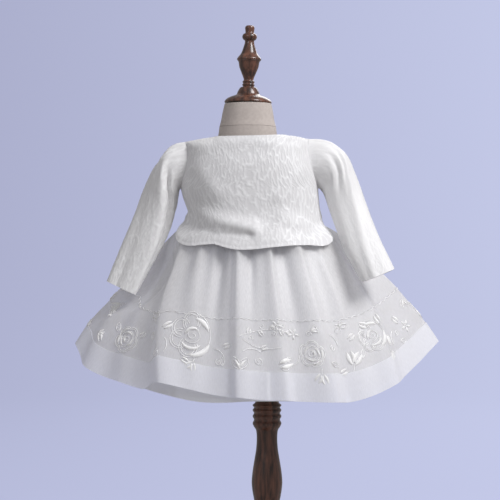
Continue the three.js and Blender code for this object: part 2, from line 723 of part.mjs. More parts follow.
function sleeveRows(table, edges, side) {
  const sections = table.map((row, i) => ({ ...row, share: i / (table.length - 1) }));
  const angles = Array.from({ length: SLEEVE_COLUMNS }, (_, c) => (c * 360) / SLEEVE_COLUMNS);
  const top = side > 0 ? 90 : 270;
  const head = angles.map((angle) => {
    const point = sleeveHeadPoint(edges, side, angle);
    point.x += side * HEAD_GAP;
    return point;
  });
  const rows = [head];
  for (let r = 0; r < SLEEVE_RINGS; r += 1) {
    const share = r / (SLEEVE_RINGS - 1);
    const row = rowAt(sections, "share", share);
    const centre = new THREE.Vector3(row.x, row.y, row.z);
    const fade = bump(share, HEAD_PLEAT_LENGTH);
    rows.push(
      angles.map((angle) => {
        const point = sleeveSectionPoint(row, angle);
        const offTop = angleBetween(angle, top);
        const pleats = HEAD_PLEATS.map((at) => bump(offTop - at, HEAD_PLEAT_WIDE));
        const lift = fade * HEAD_PLEAT_HIGH * pleats.reduce((a, b) => a + b, 0);
        const outwards = point.clone().sub(centre).normalize();
        return point.addScaledVector(outwards, lift);
      }),
    );
  }
  return rows;
}

// A point of a skirt with no folds, at degrees from the front centre and a share of its length.
function plainSkirtPoint(hem, degrees, down, inset) {
  const angle = angleBetween(degrees, 0);
  const run = rowAt(SKIRT_RUN, "down", down);
  const edge = rowAt(hem, "angle", angle);
  const out = run.out * edge.out;
  const x = mix(WAIST_CENTRE, HEM_CENTRE, down) + (WAIST_HALF - inset + out) * Math.sin(angle * DEGREE);
  const y = -(WAIST_DEEP - inset + out) * Math.cos(angle * DEGREE);
  return new THREE.Vector3(x, y, WAIST_Z - SEAM - run.drop * edge.drop);
}

// The way out of a skirt with no folds, square to its cloth.
function skirtOutwards(hem, degrees, down, inset) {
  const step = 0.01;
  const above = plainSkirtPoint(hem, degrees, Math.max(down - step, 0), inset);
  const below = plainSkirtPoint(hem, degrees, Math.min(down + step, 1), inset);
  const left = plainSkirtPoint(hem, degrees - 1, down, inset);
  const right = plainSkirtPoint(hem, degrees + 1, down, inset);
  return below.sub(above).cross(right.sub(left)).normalize();
}

// How far the folds stand out at a place on the organza skirt.
function foldHeight(degrees, down) {
  const grow = smooth(down / 0.12);
  let height = 0;
  for (const fold of SKIRT_FOLDS) {
    const middle = mix(fold.waist, fold.hem, down);
    const off = angleBetween(degrees, middle);
    const wide = fold.wide * mix(0.8, 1, down);
    height += fold.high * mix(fold.early, 1, smooth(down)) * bump(off, wide);
  }
  const gather = 0.5 - 0.5 * Math.cos(GATHERS * degrees * DEGREE);
  const fade = bump(down, GATHER_FADE) * smooth(down / 0.04);
  return grow * (height - FOLD_GROUND) + GATHER_HIGH * gather * fade;
}

// The hem rides up sharply at one end and runs out slowly at the other.
function rideUp(degrees) {
  const angle = angleBetween(degrees, 0);
  const start = smooth((angle - RIDE_UP_FROM + 4) / 6);
  const end = 1 - smooth((angle - RIDE_UP_FROM - 10) / (RIDE_UP_TO - RIDE_UP_FROM - 10));
  return (RIDE_UP / 245) * start * end;
}

// Moves a point of a skirt into the left sleeve's hollow, by a share of its depth.
function pressed(point, share) {
  if (point.x > HEM_CENTRE) return point;
  const hollow = rowAt(SLEEVE_HOLLOW, "z", point.z);
  point.x += share * hollow.into * bump(point.y - hollow.y, SLEEVE_HOLLOW_WIDE);
  return point;
}

function overlayPoint(degrees, down) {
  const length = down * (1 - rideUp(degrees) * smooth((down - 0.3) / 0.5));
  const point = plainSkirtPoint(OVERLAY_HEM, degrees, length, 0);
  const outwards = skirtOutwards(OVERLAY_HEM, degrees, length, 0);
  return pressed(point.addScaledVector(outwards, foldHeight(degrees, down)), 1);
}

function underskirtPoint(degrees, down) {
  const point = plainSkirtPoint(UNDERSKIRT_HEM, degrees, down, UNDERSKIRT_INSET);
  const outwards = skirtOutwards(UNDERSKIRT_HEM, degrees, down, UNDERSKIRT_INSET);
  const wave = 0.35 * foldHeight(degrees, down) * smooth(down / 0.3);
  return pressed(point.addScaledVector(outwards, wave), UNDERSKIRT_PRESSED);
}

function skirtWall(pointAt, columns, from, to, strips, wall) {
  const rows = Array.from({ length: strips + 1 }, (_, r) => {
    const down = mix(from, to, r / strips);
    return Array.from({ length: columns }, (_, c) => pointAt((c * 360) / columns, down));
  });
  return clothWall(rows, wall, true);
}

function waistbandGeometry() {
  const ring = (z) =>
    Array.from({ length: UNDERSKIRT_COLUMNS }, (_, c) => {
      const angle = (c / UNDERSKIRT_COLUMNS) * 2 * Math.PI;
      const x = WAIST_CENTRE + WAIST_HALF * Math.sin(angle);
      return new THREE.Vector3(x, -WAIST_DEEP * Math.cos(angle), z);
    });
  return clothWall([ring(WAIST_Z + WAISTBAND_HEIGHT), ring(WAIST_Z)], WAISTBAND_CLOTH, true);
}

function addMesh(group, name, geometry, look) {
  const mesh = new THREE.Mesh(geometry, new THREE.MeshStandardMaterial(MATERIALS[look]));
  mesh.name = name;
  group.add(mesh);
  return mesh;
}

function makeStand() {
  const stand = new THREE.Group();
  const base = addMesh(stand, "form_base", turnedGeometry(BASE_OUTLINE, BASE_SIDES), "wood");
  base.rotation.x = Math.PI / 2;
  const post = addMesh(stand, "form_post", turnedGeometry(POST_OUTLINE, TURNED_SIDES), "wood");
  post.rotation.x = Math.PI / 2;
  addMesh(stand, "form_torso", formGeometry(TORSO_ROWS), "linen");
  addMesh(stand, "form_neck", formGeometry(NECK_ROWS), "linen");
  const capSeat = new THREE.Group();
  capSeat.position.set(CAP_X, 0, CAP_FOOT);
  capSeat.rotation.y = CAP_LEAN;
  const cap = addMesh(capSeat, "form_cap", turnedGeometry(CAP_OUTLINE, TURNED_SIDES), "wood");
  cap.rotation.x = Math.PI / 2;
  stand.add(capSeat);
  return stand;
}

function makeTop() {
  const top = new THREE.Group();
  const front = frontRows();
  const backLeft = backRows(-1);
  const backRight = backRows(1);
  addMesh(top, "bodice_front", clothWall(front, BROCADE, false), "brocade");
  addMesh(top, "bodice_back_left", clothWall(backLeft, BROCADE, false), "brocade");
  addMesh(top, "bodice_back_right", clothWall(backRight, BROCADE, false), "brocade");
  const rightEdges = armholeEdges(front, backLeft, backRight, 1);
  const leftEdges = armholeEdges(front, backLeft, backRight, -1);
  const right = sleeveRows(SLEEVE_RIGHT, rightEdges, 1);
  const left = sleeveRows(SLEEVE_LEFT, leftEdges, -1);
  addMesh(top, "sleeve_right", clothWall(right, SLEEVE_CLOTH, true), "brocade");
  addMesh(top, "sleeve_left", clothWall(left, SLEEVE_CLOTH, true), "brocade");
  return top;
}

// The buttons sit on the lap's centre line, on the outer panel.
function makeButtons() {
  const buttons = new THREE.Group();
  const rows = backRows(1);
  const edge = HALF_PANEL_COLUMNS;
  BUTTON_HEIGHTS.forEach((z, i) => {
    const under = rows.findIndex((row) => row[edge].z < z);
    const [high, low] = [under - 1, under].map((r) => rows[r][edge].clone().lerp(rows[r][edge - 1], 0.5));
    const facing = inwardsAt(rows, under, edge, false).negate();
    const name = "button_" + (i + 1);
    const button = addMesh(buttons, name, turnedGeometry(BUTTON_OUTLINE, BUTTON_SIDES), "pearl");
    button.position.copy(low.lerp(high, (z - low.z) / (high.z - low.z)));
    button.position.addScaledVector(facing, 2 * SEAM);
    button.quaternion.setFromUnitVectors(new THREE.Vector3(0, 1, 0), facing);
  });
  return buttons;
}

function makeSkirts() {
  const skirts = new THREE.Group();
  const border = BORDER_FROM + SEAM_SHARE;
  const band = BAND_FROM + SEAM_SHARE;
  const overlay = (from, to, strips) =>
    skirtWall(overlayPoint, SKIRT_COLUMNS, from, to, strips, ORGANZA);
  const under = skirtWall(underskirtPoint, UNDERSKIRT_COLUMNS, 0, 1, UNDERSKIRT_STRIPS, SATIN);
  addMesh(skirts, "waistband", waistbandGeometry(), "satin");
  addMesh(skirts, "skirt_upper", overlay(0, BORDER_FROM, UPPER_STRIPS), "organza");
  addMesh(skirts, "skirt_border", overlay(border, BAND_FROM, BORDER_STRIPS), "organza");
  addMesh(skirts, "hem_band", overlay(band, 1, BAND_STRIPS), "organza");
  addMesh(skirts, "underskirt", under, "satin");
  return skirts;
}

const gown = new THREE.Group();
gown.add(makeStand(), makeTop(), makeButtons(), makeSkirts());

export default gown;
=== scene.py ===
# The looks of a long-sleeved christening gown on its limbless dress form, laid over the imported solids.
# Tables are in millimetres, in the solids' own frame: Z up, the gown's front faces -Y.
# Left and right are as seen from the front.
import math

import bpy
import numpy as np
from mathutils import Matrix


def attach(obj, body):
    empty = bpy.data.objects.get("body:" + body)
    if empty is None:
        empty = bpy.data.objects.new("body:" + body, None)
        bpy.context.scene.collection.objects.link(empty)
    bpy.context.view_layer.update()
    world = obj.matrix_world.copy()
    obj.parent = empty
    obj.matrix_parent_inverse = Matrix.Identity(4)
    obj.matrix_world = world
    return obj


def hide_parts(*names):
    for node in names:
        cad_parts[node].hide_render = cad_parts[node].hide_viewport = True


MM = 0.001


def table(names, *rows):
    """A table as one array for each named column."""
    return dict(zip(names.split(), np.array(rows, float).T))


# Cloth as it is drawn here, thinner than its solid: each wall and the gap left at a seam.
BROCADE = 1.1
SLEEVE_CLOTH = 1.1
ORGANZA = 0.5
BAND_CLOTH = 0.9
SATIN = 0.6
WAISTBAND_CLOTH = 2.4
SEAM = 0.3
SEAM_OPEN = 0.08
SEAM_REACH = 2
SOFTEN_STEP = 0.7

# The stand.
BASE_TOP = 20
POST_TOP = 296
TORSO_FOOT = 296.3
NECK_FOOT = 627
CAP_FOOT = 660.3
CAP_X = -26.6
CAP_LEAN = 1.4
BASE_OUTLINE = table(
    "up radius",
    (0, 118), (2, 120), (11, 120), (15, 117), (17, 110), (BASE_TOP, 104),
)
POST_OUTLINE = table(
    "up radius",
    (20.3, 31), (27, 31), (33, 24), (44, 17), (60, 13.5), (84, 14), (105, 18), (118, 20.4), (130, 21.5),
    (144, 20.4), (156, 18.6), (166, 16.9), (177, 15.2), (192, 14.4), (203, 15.4), (208, 18.4),
    (212.8, 20.2), (217.6, 18.2), (222.6, 20.2), (226.8, 18.2), (231, 20.2), (234.5, 18.2), (238, 20.2),
    (242, 16.5), (POST_TOP, 16.5),
)
CAP_OUTLINE = table(
    "up radius",
    (0, 32.4), (1.8, 33.1), (5.6, 30), (8.7, 24.4), (11.9, 16.6), (16, 14.8), (21.8, 11.4), (23.4, 7.8),
    (25.8, 8.8), (28, 7.6), (30.2, 8.6), (32.4, 6.8), (36, 7.6), (41.9, 10), (50.7, 13.4), (58.1, 14.8),
    (61.3, 17), (64.2, 15.6), (69.4, 11.6), (77.3, 8.6), (87.1, 6.4), (89.5, 9), (93.1, 10.3),
    (96.6, 9), (98.6, 6.2), (106, 6.6), (108.5, 5), (109, 2),
)
TORSO_ROWS = table(
    "z centre half deep",
    (TORSO_FOOT, -8, 54, 40), (302, -9, 64, 47), (318, -11, 74, 54), (345, -13, 80, 58),
    (385, -15, 82, 60), (430, -17, 79, 58), (475, -18, 75, 54), (515, -20, 76, 54), (550, -24, 80, 55),
    (578, -26, 78, 51), (592, -27, 72, 47), (599, -27, 60, 43), (605, -27, 47.5, 40.8),
    (611, -27, 42.4, 40.2), (NECK_FOOT - SEAM, -27, 39.6, 39),
)
NECK_ROWS = table(
    "z centre half deep",
    (NECK_FOOT, -27, 39.6, 39), (636, -27, 37.3, 37), (648, -26.8, 35.2, 35),
    (CAP_FOOT - 4 * SEAM, -26.6, 32.8, 32.8),
)
FORM_SQUARE = 2.25

# The top's sections from the hem up.
TOP_SECTIONS = table(
    "z lift centre half front back square",
    (457, 34, -20, 103.5, 91, 92, 2.35),
    (464, 30, -20, 102, 89.5, 90, 2.35),
    (472, 25, -19.5, 99, 86, 88.5, 2.35),
    (478, 21.5, -19, 97, 83, 85.5, 2.35),
    (484, 18, -18.5, 95, 80, 80.5, 2.35),
    (498, 11, -18, 92.5, 74, 71, 2.4),
    (512, 5, -20, 93, 71, 68, 2.45),
    (527, 1.5, -22.5, 94.5, 69, 66, 2.5),
    (541, 0, -24.5, 95.5, 67, 64, 2.5),
    (545.5, 0, -24.8, 95.3, 66.5, 63.6, 2.5),
    (553, 0, -25, 94.6, 65.6, 63, 2.5),
    (565, 0, -25.3, 93, 64, 61.5, 2.5),
    (578, 0, -25.6, 90.6, 61.5, 60, 2.5),
    (591, 0, -26.2, 87.6, 57.5, 58, 2.5),
)
HEM_SIDE_LIFT_POWER = 13
HEM_CORNER_POWER = 8
HEM_FLARE_TOP = 486
HEM_FLARE_DEEP = 24
HEM_CORNER_FLARE = 0.36
HEM_SIDE_TUCK = 0.09
FRONT_HEM = table(
    "x lift",
    (-125, 2), (-104, 3), (-86, 5), (-72, 6), (-57, 2), (-46, -0.8), (-24, -1.4), (0, 1), (30, 4),
    (56, 4.5), (72, 1.5), (86, 0),
)
FRONT_HEM_FADE = 26
NECK_CENTRE = -23.5
NECK_HALF = 51
NECK_FRONT = 46.5
NECK_BACK = 45.5
NECK_HEIGHT = 611
NECK_SIDE_RISE = 2.5
NECK_CORNER = 0.4
SHOULDER_TIP = {-1: -114.5, 1: 57.5}
SHOULDER_DROP = 5.5
SHOULDER_LEAN = 0.024
ARMHOLE_FOOT = 541
ARMHOLE_HEIGHT = 66
ARMHOLE_DEEP = 29
SKIRT_CLEARANCE = 0.9
CLEARANCE_FADE = 6

# The back's lap: how far it is moved and lifted at each share of the panel from the centre line.
LAP_SHARES = (0, 0.1, 0.2, 0.3)
LAP_SHIFTS = (8, 3.2, 0, 0)
OUTER_LIFTS = (-2.4, -2.4, -0.8, 0)
UNDER_LIFTS = (1.3, 1.3, 0, 0)

# Folds of the top: from one point to another in the front or back view, half width and height.
FRONT_CREASES = table(
    "x1 z1 x2 z2 wide high",
    (-92, 501, -20, 485, 10, 5.5), (-90, 470, -36, 462, 13, -8.5), (-47, 458, -44, 470, 4.5, 2.4),
    (-31, 456, -25, 474, 4.5, -3), (20, 500, 58, 486, 10, 2), (30, 478, 62, 470, 9, -1.4),
    (42, 560, 16, 528, 11, 1.8), (-96, 566, -70, 534, 11, 1.8),
)
BACK_CREASES = table(
    "x1 z1 x2 z2 wide high",
    (-92, 504, -46, 492, 11, 4), (-84, 480, -52, 474, 11, -4), (12, 492, 62, 506, 12, 4),
    (20, 474, 54, 482, 10, -4), (-92, 566, -64, 536, 11, 1.8), (44, 566, 18, 536, 11, 1.8),
)

# Sleeves from just outside the armhole to the cuff.
SLEEVE_RIGHT = table(
    "x y z across deep tilt turn",
    (78, -1, 576, 70, 62, 84, 0),
    (93.5, -4, 563, 63, 56, 60, 0),
    (101.5, -9, 546, 55, 48, 42, 0),
    (109, -18, 523, 52, 42, 28, 3),
    (119, -33, 492, 51, 38, 22, 7),
    (129.5, -52, 462, 51, 34, 22, 9),
    (139.5, -66, 441, 49, 31, 22, 9),
    (149, -79, 421, 47, 29, 22, 8),
)
SLEEVE_LEFT = table(
    "x y z across deep tilt turn",
    (-131, -1, 569.5, 64, 62, -76, 0),
    (-143, -3, 550, 60, 54, -52, 0),
    (-151, -6, 528, 57, 47, -32, 0),
    (-160, -11, 499, 57, 42, -22, -6),
    (-172, -17, 469, 56, 38, -21, -12),
    (-187, -23, 436, 52, 34, -22, -15),
    (-202, -29, 403, 46, 31, -24, -14),
)
HEAD_GAP = 0.2
SLEEVE_SQUARE = 2.15
HEAD_ROUND = 6
SLEEVE_SEAM_AT = 112

# Folds of the sleeves: angle at the head and at the cuff, the shares of the length over which it shows,
# half width in degrees and height.
RIGHT_SLEEVE_FOLDS = table(
    "head cuff from_share to_share wide high",
    (86, -40, -1, 0.4, 7, -1.8), (94, -20, -1, 2, 13, 2.2), (70, -34, -1, 0.5, 8, 2.2),
    (56, -56, -1, 0.46, 7, -2.2), (44, -84, -1, 0.4, 7, 1.4), (30, -66, 0.1, 2, 26, 1.2),
    (100, 165, -1, 0.4, 9, -1.4), (110, 200, -1, 0.5, 10, 1.6), (200, 206, 0.15, 0.7, 14, -2.4),
    (232, 236, 0.35, 2, 14, 1.8),
)
LEFT_SLEEVE_FOLDS = table(
    "head cuff from_share to_share wide high",
    (-70, 62, -1, 2, 18, 4.8), (-116, -24, -1, 2, 44, -7.5), (-47, 98, -1, 1.1, 9, -3.6),
    (-28, 118, -1, 0.8, 9, 1.6), (-74, -10, -1, 0.4, 8, 1.8), (-58, 22, -1, 0.36, 7, -1.8),
    (-104, -165, -1, 0.4, 9, -1.4), (-112, -200, -1, 0.5, 10, 1.6), (168, 158, 0.2, 0.75, 14, -2.2),
    (138, 128, 0.4, 2, 14, 1.8),
)
FOLD_TURN = 0.45
FOLD_STARTS_IN = 0.15
FOLD_ENDS_IN = 0.3
FOLD_NARROW = 0.6
HEAD_GATHERS = 21
HEAD_GATHERS_MORE = 34
HEAD_GATHERS_SHARE = 0.6
HEAD_GATHER_HIGH = 0.55
HEAD_GATHER_FADE = 0.08
HEAD_GATHER_WIDE = 42

# Waist and skirts.
WAIST_Z = 494
WAIST_CENTRE = -18
WAIST_HALF = 86
WAIST_DEEP = 63
WAISTBAND_HEIGHT = 18
HEM_CENTRE = -15
BORDER_FROM = 0.59
BAND_FROM = 0.87
SKIRT_LENGTH = 245
SKIRT_RUN = table(
    "down out drop",
    (0, 0, 0), (0.12, 0.18, 0.09), (0.33, 0.41, 0.295), (0.545, 0.625, 0.505), (0.68, 0.745, 0.65),
    (0.84, 0.878, 0.818), (1, 1, 1),
)
OVERLAY_HEM = table(
    "angle out drop",
    (-180, 84, 236), (-155, 88, 238), (-132, 108, 232), (-110, 142, 206), (-90, 163, 172),
    (-78, 150, 200), (-62, 121, 216), (-46, 110, 224), (-25, 82, 236), (0, 76, 235), (20, 80, 237),
    (42, 100, 239), (62, 121, 221), (75, 142, 194), (90, 163, 170), (110, 140, 206), (132, 106, 232),
    (155, 88, 238), (180, 84, 236),
)
UNDERSKIRT_HEM = table(
    "angle out drop",
    (-180, 66, 238), (-128, 80, 232), (-90, 108, 214), (-52, 80, 231), (-28, 68, 240), (0, 62, 238),
    (28, 66, 238), (52, 80, 232), (90, 110, 212), (128, 80, 232), (180, 66, 238),
)

# Ridges of the organza skirt: degrees at waist and hem, height and half width, how much of that height
# it has at the waist and at the hem, and how much narrower it is on its left (-) or right (+) flank.
SKIRT_FOLDS = table(
    "waist hem high wide early late lean",
    (-96, -92, 8, 6, 0.3, 1, 0),
    (-84, -78, 9, 5, 0.3, 1, -0.2),
    (-76, -62, 4, 5, 0.5, 1, 0),
    (-62, -42, 11, 5, 0.7, 1, -0.4),
    (-43, -30, 6, 4.5, 0.9, 0.5, 0.1),
    (-31, -24, 2, 3, 1, 0.2, 0),
    (-13, -8.5, 10, 4.4, 0.9, 0.9, -0.4),
    (0, 1, 1.4, 3, 1, 0.2, 0),
    (10, 14, 8.5, 4, 0.9, 0.8, 0.4),
    (32, 35, 9.5, 6.5, 0.7, 0.9, 0.4),
    (50, 49, 5, 5, 0.7, 0.7, 0),
    (70, 63, 10, 5, 0.5, 1, 0.4),
    (92, 90, 9, 6, 0.3, 1, 0),
    (108, 105, 7, 6, 0.5, 1, 0.2),
    (124, 121, 9, 6, 0.5, 1, -0.2),
    (138, 139, 5, 5, 0.8, 0.6, 0),
    (154, 154, 9, 5.5, 0.6, 0.7, 0.2),
    (168, 170, 5, 5, 0.9, 0.6, 0),
    (184, 186, 9, 6, 0.2, 1, -0.2),
    (200, 203, 6, 5, 0.8, 0.6, 0.1),
    (217, 219, 9, 6, 0.5, 0.8, 0.2),
    (232, 236, 6, 5, 0.7, 0.7, -0.1),
    (248, 252, 8, 6, 0.4, 1, 0),
)
# Narrow pleats that fan out below the waist: degrees at their start and end, height, half width, and
# the shares of the skirt's length at which they start and end.
PLEATS = table(
    "head foot high wide from_share to_share",
    (-38, -66, 2.2, 2.6, 0.05, 0.42), (-34, -52, -2, 2.2, 0.05, 0.36), (-29, -42, 2.4, 2, 0.04, 0.34),
    (-24, -23, -5.6, 3.2, 0.04, 1.2), (-18, -17, 2.4, 1.7, 0.05, 0.5), (-8, -7, -1.6, 1.4, 0.05, 0.34),
    (-3, -1, -4.4, 2.6, 0.05, 0.75), (3, 4, 1.6, 1.6, 0.05, 0.4), (15, 18, -2.6, 2, 0.05, 0.42),
    (21, 25, -5, 3.6, 0.05, 1.2), (26, 36, 1.8, 2, 0.05, 0.34), (40, 56, -2, 2.4, 0.05, 0.38),
    (46, 68, 2, 2.2, 0.05, 0.36), (62, 74, -2.2, 2.6, 0.05, 0.5), (-60, -74, 2, 2.4, 0.05, 0.44),
    (112, 108, 2, 2.2, 0.05, 0.4), (131, 126, -2.4, 2.4, 0.05, 0.36), (147, 140, 2.2, 2, 0.05, 0.44),
    (161, 158, -2.6, 2.2, 0.05, 0.5), (175, 178, 2.2, 1.9, 0.05, 0.34),
    (192, 198, -2.4, 2.4, 0.05, 0.46), (208, 216, 2, 2, 0.05, 0.38), (224, 234, -2.2, 2.4, 0.05, 0.42),
    (240, 252, 2.2, 2.2, 0.05, 0.36),
)

# The band's lap and seam, how folds and pleats fade, the gathers, and where the hem rides up.
BAND_LAP = 0.006
BAND_LIFT = 0.9
BAND_SEAM_AT = 5.5
BAND_SEAM_HIGH = 1.8
BAND_SEAM_WIDE = 7
BAND_SEAM_STEP = 0.5
FOLD_GROUND = 2.5
FOLD_GROUND_IN = 0.2
FLANK_AT_WAIST = 0.8
FLANK_AT_HEM = 1.6
FLANK_LATE = 0.6
LEAN_WITHIN = 0.3
LATE_SHARES = (0.35, 0.6)
PLEAT_AHEAD = 0.03
PLEAT_STARTS_IN = 0.05
PLEAT_ENDS_IN = 0.7
PLEAT_WIDENS = (0.8, 1.7)
PLEAT_BEFORE = -0.2
GATHERS = 46
GATHER_HIGH = 1.3
GATHER_FADE = 0.16
GATHER_STARTS_IN = 0.04
RIDE_UP = 11
RIDE_UP_FROM = -46
RIDE_UP_TO = 6
RIDE_UP_STARTS_IN = (4, 6)
RIDE_UP_FULL = 10
RIDE_UP_SHARES = (0.3, 0.5)

# The hollow beside the left sleeve: its depth at each height and where its middle lies along Y.
SLEEVE_HOLLOW = table(
    "z y into",
    (340, -30, 0), (366, -30, 5), (384, -30, 27), (402, -29, 39), (430, -25, 34), (455, -20, 14),
    (475, -17, 4), (WAIST_Z, -12, 0),
)
SLEEVE_HOLLOW_WIDE = 27
UNDERSKIRT_PRESSED = 0.45
UNDERSKIRT_INSET = 1.8
UNDERSKIRT_WAVE = 0.35
UNDERSKIRT_ROOM = 3
WAVE_FADE = 0.3
NORMAL_STEP = (0.01, 1)

# Buttons of the back opening with their stitched holes, the neck's binding and the armholes' piping.
BUTTON_HEIGHTS = (594, 562, 530, 500)
BUTTON_OUTLINE = table(
    "radius up",
    (0.05, 0), (4.2, 0), (4.8, 0.6), (5, 1.3), (4.7, 2.2), (4, 2.6), (3.2, 2.4), (2.4, 2.1), (0.05, 2),
)
BUTTON_SIDES = 40
HOLE_POINTS = 28
HOLE_LONG = 6.4
HOLE_HIGH = 1
HOLE_SHIFT = 1.6
HOLE_CORD = 0.45
BINDING_WIDE = 1.5
BINDING_HIGH = 0.9
BINDING_SIDES = 8
PIPING = 0.7

# How finely things are drawn.
SHARP_ANGLE = 50
TURNED_SIDES = 96
PROFILE_STEPS = 5
AXIS_RADIUS = 0.05
FORM_SIDES = 96
FORM_RINGS = 90
HALF_COLUMNS = 120
TOP_ROWS = 150
YOKE_ROWS = 38
YOKE_SOFTENED = 60
NECK_SOFT_REACH = 7
NECK_SOFTENED = 50
SLEEVE_COLUMNS = 136
SLEEVE_ROWS = 118
HEAD_ROWS = 9
HEAD_SOFTENED = 40
SKIRT_COLUMNS = 480
UPPER_ROWS = 60
BORDER_ROWS = 36
BAND_ROWS = 14
UNDERSKIRT_COLUMNS = 300
UNDERSKIRT_ROWS = 46
WAISTBAND_ROWS = 6
SKIRT_SEAM_AT = 180
REACH_STEP = 3
REACH_HEIGHTS = (420, 491, 18)
REACH_WINDOW = 4
REACH_SOFTENED = 30
REACH_LOWEST = 0.4
REACH_HALVINGS = 11
REACH_ROUNDS = 6
HEM_SOFTENED = 12
HEM_ROLL_WIDE = 3
HEM_ROLL_HIGH = 1.6

# Raised lines of the brocade: a cell's width and height, a line's width as a share of it, and heights.
CRACKLE_CELL = (5.2, 23)
CRACKLE_LINE = 0.15
CRACKLE_REPEAT = 61
CRACKLE_HIGH = 0.48
SLEEVE_CRACKLE = {"sleeve_left_cloth": 1, "sleeve_right_cloth": 0.6}
CRACKLE_PATCH = 34
CRACKLE_WAVES = 6
CRACKLE_WAVE_DOWN = (0.12, 0.35)
CRACKLE_WAVE_ACROSS = (0.05, 0.1)
CRACKLE_BEND = 0.3
CRACKLE_FAINT = 0.55

# Colours, as the share of red, green and blue light given back.
# The bodice's brocade and the sleeves' are one cloth in two copies, darker on the bodice and lighter on
# the sleeves: painted shade and painted light, as if more of the key fell on the sleeves.
BROCADE_GROUND = (0.75, 0.745, 0.755)
BROCADE_RAISED = (0.9, 0.9, 0.91)
SLEEVE_GROUND_PAINTED_LIGHT = (0.84, 0.835, 0.84)
SLEEVE_RAISED_PAINTED_LIGHT = (0.93, 0.93, 0.93)
ORGANZA_TINT = (0.955, 0.945, 0.935)
BAND_TINT = (0.985, 0.985, 1)
SATIN_LOW = (0.94, 0.95, 0.985)
SATIN_HIGH = (0.97, 0.98, 1)
SILK_LOW = (0.95, 0.945, 0.94)
SILK_HIGH = (1, 1, 1)
LINEN_LOW = (0.45, 0.39, 0.36)
LINEN_HIGH = (0.62, 0.56, 0.52)
WOOD_DARK = (0.03, 0.013, 0.009)
WOOD_RED = (0.21, 0.088, 0.055)
PEARL_LOW = (0.78, 0.75, 0.7)
PEARL_HIGH = (0.92, 0.9, 0.87)
# The studio paper's glow, with painted light: darker on the left and lighter on the right, as if the key
# from the right lit that side more. Then the paper's own colour and the glow's strength.
STAGE_PAINTED_SHADE_LEFT = (0.40, 0.42, 0.60)
STAGE_PAINTED_LIGHT_RIGHT = (0.54, 0.575, 0.79)
STAGE_PAINTED_LIGHT_SPAN = (-1.1, 1.0)
STAGE_BASE = (0.1, 0.105, 0.14)
STAGE_GLOW = 0.92

# Patterns: how many go to a metre, along each way of the cloth or of the piece.
WEAVE = (1500, 620, 1)
FLOURISH = (62, 48, 1)
ORGANZA_THREADS = (900, 160, 1)
SATIN_THREADS = (700, 90, 1)
SILK_STITCHES = (1, 420, 1)
POST_GRAIN = (190, 190, 14)
BASE_GRAIN = (11, 170, 60)
LINEN_LINES = 260
PEARL_CLOUDS = 300
WOOD_ENDS = (0.36, 0.68)
AS_IT_IS = (1, 1, 1)

# Organza: the share of the light that it stops, how much this varies, and what of that glows through.
SHEER_COVER = 0.52
DOUBLE_COVER = 0.84
COVER_CHANGE = 0.04
GLOW_SHARE = 0.38

# Needlework on the organza: how finely its cloth is read, and its threads.
WORKED_COLUMNS = 720
WORKED_ROWS = (0.5, 0.99, 90)
STITCH = 1.3
CORD_RADIUS = 0.5
CORD_SIDES = 5
PAD_HIGH = 1.2
PAD_SIDES = 8
PAD_POINT = 0.06
PAD_LIFT = 0.3
CORD_LIFT = 0.6
LOBE_POWER = 0.6
EDGE_CORD = 0.4
EDGE_SCALLOP = 0.008
EDGE_SCALLOPS = 46
EDGE_STEP = 0.5
SCALE_READ = (2, 0.03)

